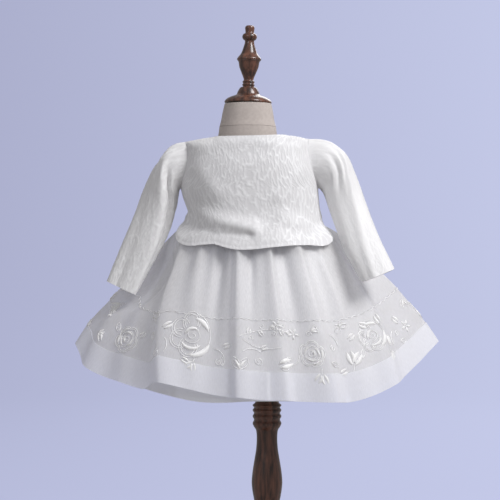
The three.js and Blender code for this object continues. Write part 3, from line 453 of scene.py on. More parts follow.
# Each motif's places by kind: degrees, share of the length, size, turn.
MOTIFS = {
    "open_rose": (
        (-33, 0.71, 28, 0), (60, 0.72, 21, -20), (128, 0.72, 25, 60), (203, 0.72, 26, -40),
    ),
    "rose": (
        (-66, 0.775, 19, 140), (28, 0.765, 18, -30), (93, 0.77, 18, 60), (160, 0.76, 19, -70),
        (228, 0.78, 18, 10), (258, 0.75, 19, 190),
    ),
    "loops": (
        (-54, 0.625, 14, 10), (45, 0.625, 11, 160), (141, 0.63, 13, -12), (219, 0.63, 12, 20),
    ),
    "open_leaf": (
        (-53, 0.7, 13, 60), (16, 0.845, 12, 180), (52, 0.81, 13, -60), (-17, 0.85, 12, -100),
        (36, 0.81, 13, 20), (-74, 0.7, 14, 60), (73, 0.84, 12, 20), (249, 0.8, 13, 150),
        (153, 0.66, 13, 60), (196, 0.85, 12, -80), (266, 0.76, 13, 80),
    ),
    "leaf": (
        (-58, 0.71, 11, 130), (-36, 0.85, 11, 25), (11.5, 0.835, 20, -22), (56, 0.64, 13, 30),
        (65, 0.63, 15, 75), (67.5, 0.76, 14, 100), (75, 0.7, 13, 60), (2.5, 0.75, 10, -30),
        (-14, 0.73, 11, 150), (40, 0.865, 12, -20), (-43, 0.66, 13, 140), (-79, 0.82, 12, -60),
        (51, 0.68, 12, 150), (121, 0.84, 14, 160), (184, 0.82, 16, 200), (241, 0.83, 15, 30),
        (137, 0.8, 13, -30), (176, 0.75, 11, 150), (212, 0.75, 12, 40), (234, 0.82, 12, 130),
        (252, 0.85, 12, -30), (281, 0.8, 13, 50),
    ),
    "pair": (
        (-31, 0.862, 12, 200), (31, 0.868, 15, 190), (47, 0.83, 19, 20), (65.5, 0.85, 12, 160),
        (-85, 0.67, 17, 200), (112, 0.84, 13, 10), (172, 0.85, 13, 20), (265, 0.66, 14, 30),
        (270, 0.83, 12, 190),
    ),
    "tendril": (
        (-20, 0.8, 20, 60), (19, 0.79, 18, 150), (39, 0.7, 20, 80), (-2, 0.785, 26, 20),
        (-45, 0.8, 22, 100), (71, 0.8, 18, -40), (237, 0.68, 22, 20), (118, 0.78, 22, 30),
        (167, 0.79, 24, 100), (222, 0.85, 20, 10),
    ),
    "open_pair": (
        (-8, 0.862, 20, 0), (86, 0.66, 14, 200), (146, 0.85, 16, 0), (213, 0.86, 15, 0),
    ),
    "sprig": (
        (4, 0.69, 64, 0), (108, 0.69, 50, 8), (181, 0.66, 58, 0), (246, 0.64, 46, -10),
    ),
    "flower": (
        (11, 0.625, 7, 0), (79, 0.79, 9, 20), (20, 0.66, 8, 0), (148, 0.72, 8, 40), (278, 0.7, 8, 0),
        (194, 0.66, 8, 20),
    ),
    "bell": (
        (29, 0.65, 15, -25), (192, 0.8, 14, 100),
    ),
}

# Camera, in metres: it looks level along +Y.
SENSOR = 36
CAMERA_X = -0.0238
CAMERA_FAR = 2.05
CAMERA_Z = 0.455
FRAME_WIDTH = 0.7

# The studio's floor, sweep and wall, in metres, and its lights: name, place, aim, size, power, colour.
SWEEP_START = 2.6
SWEEP_RADIUS = 1.6
WALL_TOP = 5
STAGE_SIDES_ROUND = 128
STAGE_STEPS = 24
STAGE_INNER = 0.05
LIGHTS = (
    ("key", (1.65, -1.15, 2.4), (0, 0, 0.45), 1.3, 65, (0.985, 0.985, 1)),
    ("fill", (-1.6, -2.4, 1.9), (0, 0, 0.45), 1.2, 10, (0.85, 0.9, 1)),
    ("back", (0.6, 2.2, 1.9), (0, 0, 0.45), 1.4, 14, (1, 1, 1)),
)
WORLD_COLOUR = (0.99, 0.96, 0.96)
WORLD_STRENGTH = 0.3

# The corners of a grid's cells from the upper left one, down first, and as seen from the grid's back.
CELL = (np.s_[:-1, :-1], np.s_[1:, :-1], np.s_[1:, 1:], np.s_[:-1, 1:])
CELL_BACK = (CELL[0], CELL[3], CELL[2], CELL[1])


def mix(start, end, share):
    return start + (end - start) * share


def smooth(value):
    share = np.clip(value, 0, 1)
    return share * share * (3 - 2 * share)


def bump(distance, wide):
    return np.exp(-((distance / wide) ** 2))


def signed_power(value, power):
    return np.sign(value) * np.abs(value) ** power


def angle_between(a, b):
    return (a - b + 180) % 360 - 180


def all_round(count, full=2 * math.pi):
    return np.arange(count) * full / count


def running(steps):
    return np.concatenate([[0], np.cumsum(steps)])


def wrapped(grid):
    """A grid with its first column once more at its end."""
    return np.concatenate([grid, grid[:, :1]], axis=1)


def unit(vectors):
    return vectors / np.maximum(np.linalg.norm(vectors, axis=-1, keepdims=True), 1e-9)


def row_at(columns, key, value):
    """The rows of a table at some values of one column, worked out smoothly between its own rows."""
    knots = columns[key]
    last = len(knots) - 1
    value = np.asarray(value, float)
    i = np.searchsorted(knots[1:last], value)
    before = np.maximum(i - 1, 0)
    after = np.minimum(i + 2, last)
    span = knots[i + 1] - knots[i]
    s = np.clip((value - knots[i]) / span, 0, 1)
    row = {}
    for name, column in columns.items():
        slope_from = (column[i + 1] - column[before]) / (knots[i + 1] - knots[before]) * span
        slope_to = (column[after] - column[i]) / (knots[after] - knots[i]) * span
        row[name] = (
            column[i] * (1 + 2 * s) * (1 - s) ** 2
            + column[i + 1] * s * s * (3 - 2 * s)
            + slope_from * s * (1 - s) ** 2
            + slope_to * s * s * (s - 1)
        )
    return row


def points_of(x, y, z):
    return np.stack(np.broadcast_arrays(x, y, z), axis=-1).astype(float)


def grid_normals(grid, closed):
    """The way out, square to a grid of points whose rows run down and whose columns run to the right."""
    if closed:
        across = np.roll(grid, -1, axis=1) - np.roll(grid, 1, axis=1)
    else:
        across = np.gradient(grid, axis=1, edge_order=2)
    down = np.gradient(grid, axis=0, edge_order=2)
    return unit(np.cross(down, across))


def soften_rows(grid, middle, reach, times):
    """Rounds a corner that runs along a row of a grid, keeping what is further off than its reach."""
    rows = np.arange(len(grid))
    share = bump(rows - middle, reach)[:, None, None]
    share[0] = 0
    share[-1] = 0
    for _ in range(times):
        mean = (np.roll(grid, 1, axis=0) + np.roll(grid, -1, axis=0)) / 2
        grid = mix(grid, mean, SOFTEN_STEP * share)
    return grid


def crease_height(creases, x, z):
    """How far the top's folds stand out at places in the front or back view."""
    height = np.zeros_like(x)
    for x1, z1, x2, z2, wide, high in zip(*creases.values()):
        share = ((x - x1) * (x2 - x1) + (z - z1) * (z2 - z1)) / ((x2 - x1) ** 2 + (z2 - z1) ** 2)
        near = np.clip(share, 0, 1)
        off = np.hypot(x - x1 - near * (x2 - x1), z - z1 - near * (z2 - z1))
        height += high * bump(off, wide)
    return height


def armhole_reach(z):
    share = np.clip((z - ARMHOLE_FOOT - ARMHOLE_HEIGHT / 2) / (ARMHOLE_HEIGHT / 2), -1, 1)
    return np.where(z < ARMHOLE_FOOT, 0, ARMHOLE_DEEP * np.sqrt(1 - share * share))


def section_point(z, turn, facing):
    """The top below the shoulders: turn is -1 to 1 across a panel, facing -1 is the front."""
    row = row_at(TOP_SECTIONS, "z", z)
    reach = row["front"] if facing < 0 else row["back"]
    widest = np.arccos(np.clip(armhole_reach(z) / reach, 0, 1) ** (row["square"] / 2))
    angle = turn * widest
    power = 2 / row["square"]
    aside = np.abs(np.sin(angle))
    at_side = aside**HEM_SIDE_LIFT_POWER
    height = z + row["lift"] * at_side
    low = smooth((HEM_FLARE_TOP - z) / HEM_FLARE_DEEP)
    corner = HEM_CORNER_FLARE * aside**HEM_CORNER_POWER * (1 - at_side)
    flare = 1 + low * (corner - HEM_SIDE_TUCK * at_side)
    x = row["centre"] + row["half"] * flare * signed_power(np.sin(angle), power)
    above_hem = z - TOP_SECTIONS["z"][0]
    if facing < 0:
        height = height + row_at(FRONT_HEM, "x", x)["lift"] * bump(above_hem, FRONT_HEM_FADE)
    creases = FRONT_CREASES if facing < 0 else BACK_CREASES
    fold = crease_height(creases, x, height) * np.sqrt(np.abs(np.cos(angle)))
    fold = fold + HEM_ROLL_HIGH * bump(above_hem, HEM_ROLL_WIDE)
    y = facing * (reach * np.abs(np.cos(angle)) ** power + fold)
    return points_of(x, y, height)


def top_edge_point(turn, facing):
    """The neckline in the middle and a shoulder seam on either side."""
    side = np.where(turn < 0, -1, 1)
    away = np.abs(turn)
    around = np.clip(away / NECK_CORNER, 0, 1) * (math.pi / 2)
    depth = NECK_FRONT if facing < 0 else NECK_BACK
    corner = math.sin(NECK_CORNER * math.pi / 2)
    share = np.clip((np.sin(away * math.pi / 2) - corner) / (1 - corner), 0, 1)
    tip = np.where(turn < 0, SHOULDER_TIP[-1], SHOULDER_TIP[1])
    on_neck = away <= NECK_CORNER
    neck_x = NECK_CENTRE + side * NECK_HALF * np.sin(around)
    x = np.where(on_neck, neck_x, mix(NECK_CENTRE + side * NECK_HALF, tip, share))
    y = np.where(on_neck, facing * depth * np.cos(around), 0)
    neck_z = NECK_HEIGHT + NECK_SIDE_RISE * np.sin(around) ** 2
    z = np.where(on_neck, neck_z, NECK_HEIGHT + NECK_SIDE_RISE - SHOULDER_DROP * share**1.5)
    return points_of(x, y, z + SHOULDER_LEAN * (x - NECK_CENTRE))


def reach_from_waist(points):
    """The degrees and the reach from the waist, on the skirts' own terms, of places round the waist."""
    x = points[..., 0] - WAIST_CENTRE
    y = -points[..., 1]
    out = np.zeros_like(x)
    for _ in range(REACH_ROUNDS):
        angle = np.arctan2(x / (WAIST_HALF + out), y / (WAIST_DEEP + out))
        along = x * np.sin(angle) + y * np.cos(angle)
        out = along - WAIST_HALF * np.sin(angle) ** 2 - WAIST_DEEP * np.cos(angle) ** 2
    return np.degrees(angle), out


def skirt_reach_at(degrees, z):
    """How far the organza skirt reaches out at some degrees and heights, down to the top's hem."""
    low = np.zeros_like(z)
    high = np.full_like(z, REACH_LOWEST)
    for _ in range(REACH_HALVINGS):
        middle = (low + high) / 2
        above = overlay_point(degrees, middle)[..., 2] > z
        low = np.where(above, middle, low)
        high = np.where(above, high, middle)
    return reach_from_waist(overlay_point(degrees, low))[1]


def skirt_reaches():
    """The skirt's reach by height and degrees, bridged over its folds as the top's stiff hem lies."""
    degrees = np.arange(0, 360, REACH_STEP)
    heights = np.linspace(*REACH_HEIGHTS)
    reach = skirt_reach_at(*np.broadcast_arrays(degrees[None, :] * 1.0, heights[:, None]))
    reach = np.max([np.roll(reach, k, axis=1) for k in range(-REACH_WINDOW, REACH_WINDOW + 1)], axis=0)
    for _ in range(REACH_SOFTENED):
        reach = (np.roll(reach, 1, axis=1) + 2 * reach + np.roll(reach, -1, axis=1)) / 4
    return reach


def table_value(values, row, column):
    """A value between the rows and the columns of an array whose columns run all the way round."""
    row = np.clip(row, 0, len(values) - 1.001)
    i, j = np.floor(row).astype(int), np.floor(column).astype(int)
    down, along = row - i, column - j
    if values.ndim == 3:
        down, along = down[..., None], along[..., None]
    count = values.shape[1]
    above = mix(values[i, j % count], values[i, (j + 1) % count], along)
    below = mix(values[i + 1, j % count], values[i + 1, (j + 1) % count], along)
    return mix(above, below, down)


def clear_of_skirt(grid, reaches):
    """Moves the top's hem out to where it rides over the skirt's folds."""
    low, high, count = REACH_HEIGHTS
    degrees, out = reach_from_waist(grid)
    row = (grid[..., 2] - low) / (high - low) * (count - 1)
    reach = table_value(reaches, row, degrees / REACH_STEP)
    below_waist = smooth((WAIST_Z - grid[..., 2]) / CLEARANCE_FADE)
    needed = np.maximum(reach + BROCADE + SKIRT_CLEARANCE - out, 0) * below_waist
    for _ in range(HEM_SOFTENED):
        needed[1:-1] = (needed[:-2] + 2 * needed[1:-1] + needed[2:]) / 4
    way = np.radians(degrees)
    grid[..., 0] += needed * np.sin(way)
    grid[..., 1] -= needed * np.cos(way)
    return grid


def panel_grid(turns, facing, reaches):
    """A front or back panel of the top, from the shoulder and neckline down to the hem."""
    heights = TOP_SECTIONS["z"]
    chest = section_point(np.array([[heights[-1]]]), turns[None, :], facing)
    edge = top_edge_point(turns, facing)[None]
    share = np.linspace(1, 0, YOKE_ROWS, endpoint=False)[:, None, None]
    corner = chest.copy()
    corner[..., 0] = mix(chest[..., 0], edge[..., 0], 0.5)
    corner[..., 2] = edge[..., 2]
    yoke = chest * (1 - share) ** 2 + corner * 2 * share * (1 - share) + edge * share**2
    z = np.linspace(heights[-1], heights[0], TOP_ROWS)[:, None]
    grid = np.concatenate([yoke, section_point(z, turns[None, :], facing)])
    grid = soften_rows(grid, YOKE_ROWS, YOKE_ROWS / 2.5, YOKE_SOFTENED)
    columns = grid.transpose(1, 0, 2)
    for turn in (-NECK_CORNER, NECK_CORNER):
        place = np.argmin(np.abs(turns - turn))
        if 0 < place < len(turns) - 1:
            columns = soften_rows(columns, place, NECK_SOFT_REACH, NECK_SOFTENED)
    grid[1:] = columns.transpose(1, 0, 2)[1:]
    grid = clear_of_skirt(grid, reaches)
    near = np.abs(grid[..., 1]) < SEAM_REACH
    share = np.clip(np.abs(grid[..., 1]) / SEAM_REACH, 0, 1)
    grid[..., 1] = np.where(near, facing * np.maximum(SEAM_OPEN, share * SEAM_REACH), grid[..., 1])
    return grid


def front_grid(reaches):
    return panel_grid(np.linspace(-1, 1, 2 * HALF_COLUMNS + 1), -1, reaches)


def back_grid(side, reaches):
    """A back panel: -1 is the left one, which lies under the lap, and 1 the right one, on top of it."""
    shares = np.linspace(1, 0, HALF_COLUMNS + 1)
    grid = panel_grid(side * shares, 1, reaches)
    ordered = grid if side > 0 else grid[:, ::-1]
    normals = grid_normals(ordered, False)
    at_edge = normals[:, -1] if side > 0 else normals[:, 0]
    grid[..., 0] -= side * np.interp(shares, LAP_SHARES, LAP_SHIFTS)
    lifts = OUTER_LIFTS if side > 0 else UNDER_LIFTS
    grid -= at_edge[:, None] * np.interp(shares, LAP_SHARES, lifts)[None, :, None]
    return grid if side > 0 else grid[:, ::-1]


def along_line(line, share):
    """Points at shares of the length of a line of points."""
    lengths = running(np.linalg.norm(np.diff(line, axis=0), axis=1))
    wanted = np.clip(share, 0, 1) * lengths[-1]
    return np.stack([np.interp(wanted, lengths, line[:, i]) for i in range(3)], axis=-1)


def armhole_edges(front, back, side):
    """The armhole's edge as a line up the front and a line up the back."""
    column = -1 if side > 0 else 0
    edges = []
    for line in (front[:, column], back[:, 0 if side > 0 else -1]):
        edges.append(line[line[:, 2] >= ARMHOLE_FOOT - 0.1][::-1])
    return edges


def sleeve_head(edges, side, angles):
    """The sleeve's edge at the armhole, just outside the top. Angle 0 is the front, 90 towards +X."""
    off_front = angle_between(angles, 0)
    off_back = angle_between(angles, 180)
    front = along_line(edges[0], (90 + side * off_front) / 180)
    back = along_line(edges[1], (90 - side * off_back) / 180)
    ring = np.where((np.abs(off_front) <= 90)[:, None], front, back)
    ring[:, 0] += side * HEAD_GAP
    return ring


def sleeve_section(row, angles):
    tilt = np.radians(row["tilt"])
    turn = np.radians(row["turn"])
    around = np.radians(angles)
    power = 2 / SLEEVE_SQUARE
    sideways = row["across"] / 2 * signed_power(np.sin(around), power)
    forwards = row["deep"] / 2 * signed_power(np.cos(around), power)
    along = sideways * np.cos(turn) + forwards * np.sin(turn)
    x = row["x"] + along * np.cos(tilt)
    y = row["y"] + sideways * np.sin(turn) - forwards * np.cos(turn)
    return points_of(x, y, row["z"] + along * np.sin(tilt))


def sleeve_folds(folds, angles, share, side):
    """How far a sleeve's folds stand out, at angles and shares of its length."""
    height = np.zeros(np.broadcast(angles, share).shape)
    for head, cuff, from_share, to_share, wide, high in zip(*folds.values()):
        middle = mix(head, cuff, np.clip(share, 0, 1) ** FOLD_TURN)
        fade = smooth((to_share - share) / FOLD_ENDS_IN) * smooth((share - from_share) / FOLD_STARTS_IN)
        spread_out = wide * mix(FOLD_NARROW, 1, smooth(share / FOLD_ENDS_IN))
        height += high * fade * bump(angle_between(angles, middle), spread_out)
    around = np.radians(angles)
    gathers = np.cos(HEAD_GATHERS * around) + HEAD_GATHERS_SHARE * np.cos(HEAD_GATHERS_MORE * around)
    at_tip = bump(share, HEAD_GATHER_FADE) * bump(angle_between(angles, 90 * side), HEAD_GATHER_WIDE)
    return height + HEAD_GATHER_HIGH * gathers * at_tip


def sleeve_grid(rows, folds, edges, side):
    sections = {**rows, "share": np.linspace(0, 1, len(rows["x"]))}
    angles = all_round(SLEEVE_COLUMNS, 360) - side * SLEEVE_SEAM_AT
    share = np.linspace(0, 1, SLEEVE_ROWS)[:, None]
    row = row_at(sections, "share", share)
    grid = sleeve_section(row, angles[None, :])
    centres = points_of(row["x"], row["y"], row["z"])
    grid += unit(grid - centres) * sleeve_folds(folds, angles[None, :], share, side)[..., None]
    head = sleeve_head(edges, side, angles)
    part = np.linspace(0, 1, HEAD_ROWS, endpoint=False)[:, None, None]
    outwards = np.array([side * HEAD_ROUND, 0, 0])
    middle = (head + grid[0]) / 2 + outwards * 0.5
    first = grid[0][None]
    strip = head[None] * (1 - part) ** 2 + middle[None] * 2 * part * (1 - part) + first * part**2
    return soften_rows(np.concatenate([strip, grid]), HEAD_ROWS, HEAD_ROWS, HEAD_SOFTENED)


def plain_skirt_point(hem, degrees, down, inset):
    """A skirt with no folds, at degrees from the front centre and shares of its length."""
    run = row_at(SKIRT_RUN, "down", down)
    edge = row_at(hem, "angle", angle_between(degrees, 0))
    out = run["out"] * edge["out"]
    way = np.radians(degrees)
    x = mix(WAIST_CENTRE, HEM_CENTRE, down) + (WAIST_HALF - inset + out) * np.sin(way)
    y = -(WAIST_DEEP - inset + out) * np.cos(way)
    return points_of(x, y, WAIST_Z - SEAM - run["drop"] * edge["drop"])


def skirt_outwards(hem, degrees, down, inset):
    step, turn = NORMAL_STEP
    above = plain_skirt_point(hem, degrees, np.maximum(down - step, 0), inset)
    below = plain_skirt_point(hem, degrees, np.minimum(down + step, 1), inset)
    left = plain_skirt_point(hem, degrees - turn, down, inset)
    right = plain_skirt_point(hem, degrees + turn, down, inset)
    return unit(np.cross(below - above, right - left))


def fold_height(degrees, down):
    """How far the folds stand out at places on the organza skirt."""
    late_from, late_over = LATE_SHARES
    height = np.zeros(np.broadcast(degrees, down).shape)
    for waist, hem, high, wide, early, late, lean in zip(*SKIRT_FOLDS.values()):
        off = angle_between(degrees, mix(waist, hem, down))
        leaning = 1 - lean * np.tanh(off / (LEAN_WITHIN * wide))
        flank = wide * mix(FLANK_AT_WAIST, FLANK_AT_HEM - FLANK_LATE * late, down) * leaning
        left_of_it = mix(early, 1, smooth(down)) * mix(1, late, smooth((down - late_from) / late_over))
        height += high * left_of_it * bump(off, flank)
    for head, foot, high, wide, from_share, to_share in zip(*PLEATS.values()):
        along = np.clip((down - from_share) / (to_share - from_share), PLEAT_BEFORE, 1)
        off = angle_between(degrees, mix(head, foot, along))
        fade_in = smooth((down - from_share + PLEAT_AHEAD) / PLEAT_STARTS_IN)
        fade_out = smooth((to_share - down) / (PLEAT_ENDS_IN * to_share))
        height += high * fade_in * fade_out * bump(off, wide * mix(*PLEAT_WIDENS, along))
    gather = 0.5 - 0.5 * np.cos(GATHERS * np.radians(degrees))
    fade = bump(down, GATHER_FADE) * smooth(down / GATHER_STARTS_IN)
    return smooth(down / FOLD_GROUND_IN) * (height - FOLD_GROUND) + GATHER_HIGH * gather * fade


def ride_up(degrees):
    """The hem rides up sharply at one end and runs out slowly at the other."""
    angle = angle_between(degrees, 0)
    ahead, rise = RIDE_UP_STARTS_IN
    past = angle - RIDE_UP_FROM
    start = smooth((past + ahead) / rise)
    end = 1 - smooth((past - RIDE_UP_FULL) / (RIDE_UP_TO - RIDE_UP_FROM - RIDE_UP_FULL))
    return RIDE_UP / SKIRT_LENGTH * start * end


def pressed(points, share):
    """Moves a skirt into the left sleeve's hollow, by a share of its depth."""
    hollow = row_at(SLEEVE_HOLLOW, "z", points[..., 2])
    into = share * hollow["into"] * bump(points[..., 1] - hollow["y"], SLEEVE_HOLLOW_WIDE)
    points[..., 0] += np.where(points[..., 0] > HEM_CENTRE, 0, into)
    return points


def overlay_point(degrees, down):
    degrees, down = np.broadcast_arrays(np.asarray(degrees, float), np.asarray(down, float))
    ride_from, ride_over = RIDE_UP_SHARES
    length = down * (1 - ride_up(degrees) * smooth((down - ride_from) / ride_over))
    point = plain_skirt_point(OVERLAY_HEM, degrees, length, 0)
    outwards = skirt_outwards(OVERLAY_HEM, degrees, length, 0)
    return pressed(point + outwards * fold_height(degrees, down)[..., None], 1)


def underskirt_point(degrees, down):
    point = plain_skirt_point(UNDERSKIRT_HEM, degrees, down, UNDERSKIRT_INSET)
    outwards = skirt_outwards(UNDERSKIRT_HEM, degrees, down, UNDERSKIRT_INSET)
    fold = fold_height(degrees, down)
    wave = UNDERSKIRT_WAVE * fold * smooth(down / WAVE_FADE) + np.minimum(fold + UNDERSKIRT_ROOM, 0)
    return pressed(point + outwards * wave[..., None], UNDERSKIRT_PRESSED)


def add_object(name, data):
    obj = bpy.data.objects.new(name, data)
    bpy.context.scene.collection.objects.link(obj)
    return obj


def mesh_object(name, points, quads, uv=None, relief=None):
    """An object from points in millimetres and four-cornered faces, with the cloth's own flat places."""
    mesh = bpy.data.meshes.new(name)
    mesh.vertices.add(len(points))
    mesh.vertices.foreach_set("co", (np.asarray(points) * MM).astype(np.float32).ravel())
    mesh.loops.add(quads.size)
    mesh.loops.foreach_set("vertex_index", quads.astype(np.int32).ravel())
    mesh.polygons.add(len(quads))
    mesh.polygons.foreach_set("loop_start", np.arange(0, quads.size, 4, dtype=np.int32))
    mesh.update(calc_edges=True)
    if uv is not None:
        layer = mesh.uv_layers.new(name="cloth")
        layer.data.foreach_set("uv", (uv * MM).astype(np.float32).ravel())
    if relief is not None:
        layer = mesh.attributes.new("relief", "FLOAT", "POINT")
        layer.data.foreach_set("value", relief.astype(np.float32).ravel())
    mesh.validate()
    mesh.shade_smooth()
    mesh.set_sharp_from_angle(angle=math.radians(SHARP_ANGLE))
    return add_object(name, mesh)


def cloth_places(grid, closed):
    """The flat places of a grid, in millimetres across and down the cloth, one more column if closed."""
    lines = wrapped(grid) if closed else grid
    across = np.linalg.norm(np.diff(lines, axis=1), axis=-1)
    down = np.linalg.norm(np.diff(lines, axis=0), axis=-1)
    width = np.zeros(lines.shape[:2])
    width[:, 1:] = np.cumsum(across.mean(axis=0))[None]
    height = np.zeros(lines.shape[:2])
    height[1:] = np.cumsum(down, axis=0)
    return np.stack([width - width[:, -1:] / 2, height], axis=-1)


def faces(corners, places):
    """Four-cornered faces and their flat places, each corner given as points and where to read them."""
    quads = np.stack([side[at] for side, at in corners], axis=-1)
    flat = np.stack([places[at] for _, at in corners], axis=-2)
    return quads.reshape(-1, 4), flat.reshape(-1, 4, 2)


def shell_object(name, grid, wall, closed, relief=None, high=0):
    """A thin shell: its outer side is the grid, raised by a relief, and its inner side one wall in."""
    rows, columns = grid.shape[:2]
    normals = grid_normals(grid, closed)
    raised = np.zeros((rows, columns)) if relief is None else relief
    outer = grid + normals * (raised * high)[..., None]
    inner = grid - normals * wall
    points = np.concatenate([outer.reshape(-1, 3), inner.reshape(-1, 3)])
    index = np.arange(rows * columns).reshape(rows, columns)
    wide = wrapped(index) if closed else index
    back = wide + rows * columns
    rims = [(np.s_[0, :-1], np.s_[0, 1:]), (np.s_[-1, 1:], np.s_[-1, :-1])]
    if not closed:
        rims += [(np.s_[1:, 0], np.s_[:-1, 0]), (np.s_[:-1, -1], np.s_[1:, -1])]
    sides = [[(wide, at) for at in CELL], [(back, at) for at in CELL_BACK]]
    sides += [[(wide, start), (wide, end), (back, end), (back, start)] for start, end in rims]
    places = cloth_places(grid, closed)
    quads, flat = zip(*(faces(corners, places) for corners in sides))
    values = np.concatenate([raised.ravel(), np.zeros(rows * columns)])
    return mesh_object(name, points, np.concatenate(quads), np.concatenate(flat), values)


def smooth_outline(outline):
    """A turned outline as one smooth profile, with a few points for each of its rows."""
    knots = running(np.hypot(np.diff(outline["radius"]), np.diff(outline["up"])))
    places = [np.linspace(a, b, PROFILE_STEPS, endpoint=False) for a, b in zip(knots[:-1], knots[1:])]
    return row_at({"knot": knots, **outline}, "knot", np.concatenate([*places, knots[-1:]]))


def turned_object(name, outline, foot=(0, 0, 0), lean=0):
    """A turned piece, closed on its axis at both ends."""
    up = outline["up"]
    profile = smooth_outline(outline)
    radii = np.concatenate([[AXIS_RADIUS], profile["radius"], [AXIS_RADIUS]])[:, None]
    z = np.concatenate([up[:1], profile["up"], up[-1:]])[:, None]
    around = all_round(TURNED_SIDES)
    x = radii * np.sin(around)
    tilt = math.radians(lean)
    rings = points_of(
        foot[0] + x * math.cos(tilt) + z * math.sin(tilt),
        foot[1] - radii * np.cos(around),
        foot[2] + z * math.cos(tilt) - x * math.sin(tilt),
    )
    return ring_object(name, rings)


def ring_object(name, rings):
    """A closed body through a stack of rings, from the lowest up, with a flat disc at either end."""
    rows, sides = rings.shape[:2]
    index = np.arange(rows * sides).reshape(rows, sides)
    quads = np.stack([wrapped(index)[at] for at in CELL_BACK], axis=-1).reshape(-1, 4)
    ends = []
    for ring, turn in ((index[0], -1), (index[-1], 1)):
        for k in range(1, sides - 2, 2):
            ends.append([ring[0], ring[k], ring[k + 1], ring[k + 2]][::turn])
    return mesh_object(name, rings.reshape(-1, 3), np.concatenate([quads, np.array(ends)]))


def form_object(name, rows):
    """The dress form's torso or neck block."""
    z = np.linspace(rows["z"][0], rows["z"][-1], FORM_RINGS)[:, None]
    row = row_at(rows, "z", z)
    around = all_round(FORM_SIDES)
    power = 2 / FORM_SQUARE
    x = row["centre"] + row["half"] * signed_power(np.sin(around), power)
    y = -row["deep"] * signed_power(np.cos(around), power)
    return ring_object(name, points_of(x, y, row["z"]))


def tube_points(path, facing, wide, high, sides, closed):
    """Rings of points round a path: half as wide as it lies, and as high as it stands on its cloth."""
    if closed:
        along = unit(np.roll(path, -1, axis=0) - np.roll(path, 1, axis=0))
    else:
        along = unit(np.gradient(path, axis=0))
    across = unit(np.cross(along, facing))
    up = np.cross(across, along)
    around = all_round(sides)
    sideways = across[:, None] * np.cos(around)[None, :, None] * np.reshape(wide, (-1, 1, 1))
    upwards = up[:, None] * np.sin(around)[None, :, None] * np.reshape(high, (-1, 1, 1))
    return path[:, None] + sideways + upwards


class Heap:
    """Meshes gathered into one object."""

    def __init__(self):
        self.points = []
        self.quads = []
        self.uv = []
        self.count = 0

    def add_grid(self, grid, places, close_across=False, close_down=False):
        rows, columns = grid.shape[:2]
        index = np.arange(rows * columns).reshape(rows, columns) + self.count
        if close_across:
            index, places = wrapped(index), wrapped(places)
        if close_down:
            index = np.concatenate([index, index[:1]])
            places = np.concatenate([places, places[:1]])
        quads, flat = faces([(index, at) for at in CELL], places)
        self.quads.append(quads)
        self.uv.append(flat)
        self.points.append(grid.reshape(-1, 3))
        self.count += rows * columns

    def add_tube(self, path, facing, wide, high, sides, closed=False):
        rings = tube_points(path, facing, wide, high, sides, closed)
        if not closed:
            ends = [path[:1, None].repeat(sides, 1), path[-1:, None].repeat(sides, 1)]
            rings = np.concatenate([ends[0], rings, ends[1]])
        length = running(np.linalg.norm(np.diff(rings[:, 0], axis=0), axis=-1))
        around = np.arange(sides) * 2 * math.pi * np.mean(wide) / sides
        places = np.stack(np.broadcast_arrays(around[None, :], length[:, None]), axis=-1)
        self.add_grid(rings, places, close_across=True, close_down=closed)

    def object(self, name):
        points, quads = np.concatenate(self.points), np.concatenate(self.quads)
        return mesh_object(name, points, quads, np.concatenate(self.uv))


def crackle(places, wide, tall, seed):
    """A net of wavy raised lines, mostly upright, as in crinkled brocade: 0 beside a line, 1 on it."""
    u, v = places[..., 0], places[..., 1]
    dice = np.random.default_rng(seed)
    jitter = dice.random((CRACKLE_REPEAT, CRACKLE_REPEAT, 2))
    (down, more_down), (across, more_across) = CRACKLE_WAVE_DOWN, CRACKLE_WAVE_ACROSS
    shift = np.zeros_like(u)
    for a, b, c in dice.random((CRACKLE_WAVES, 3)):
        shift += np.sin(v * (down + more_down * a) + u * (across + more_across * b) + 6.3 * c)
    x = (u + CRACKLE_BEND * shift) / wide
    y = v / tall
    cell_x, cell_y = np.floor(x).astype(int), np.floor(y).astype(int)
    nearest = np.full(u.shape, 9.0)
    second = np.full(u.shape, 9.0)
    for dx in (-1, 0, 1):
        for dy in (-1, 0, 1):
            i, j = cell_x + dx, cell_y + dy
            seeds = jitter[i % CRACKLE_REPEAT, j % CRACKLE_REPEAT]
            off = np.hypot(i + seeds[..., 0] - x, j + seeds[..., 1] - y)
            second = np.minimum(np.maximum(off, nearest), second)
            nearest = np.minimum(nearest, off)
    patches = 0.5 + 0.5 * np.sin(u / CRACKLE_PATCH + 0.9 * np.sin(v / CRACKLE_PATCH + seed))
    return bump(second - nearest, CRACKLE_LINE) * mix(CRACKLE_FAINT, 1, patches)


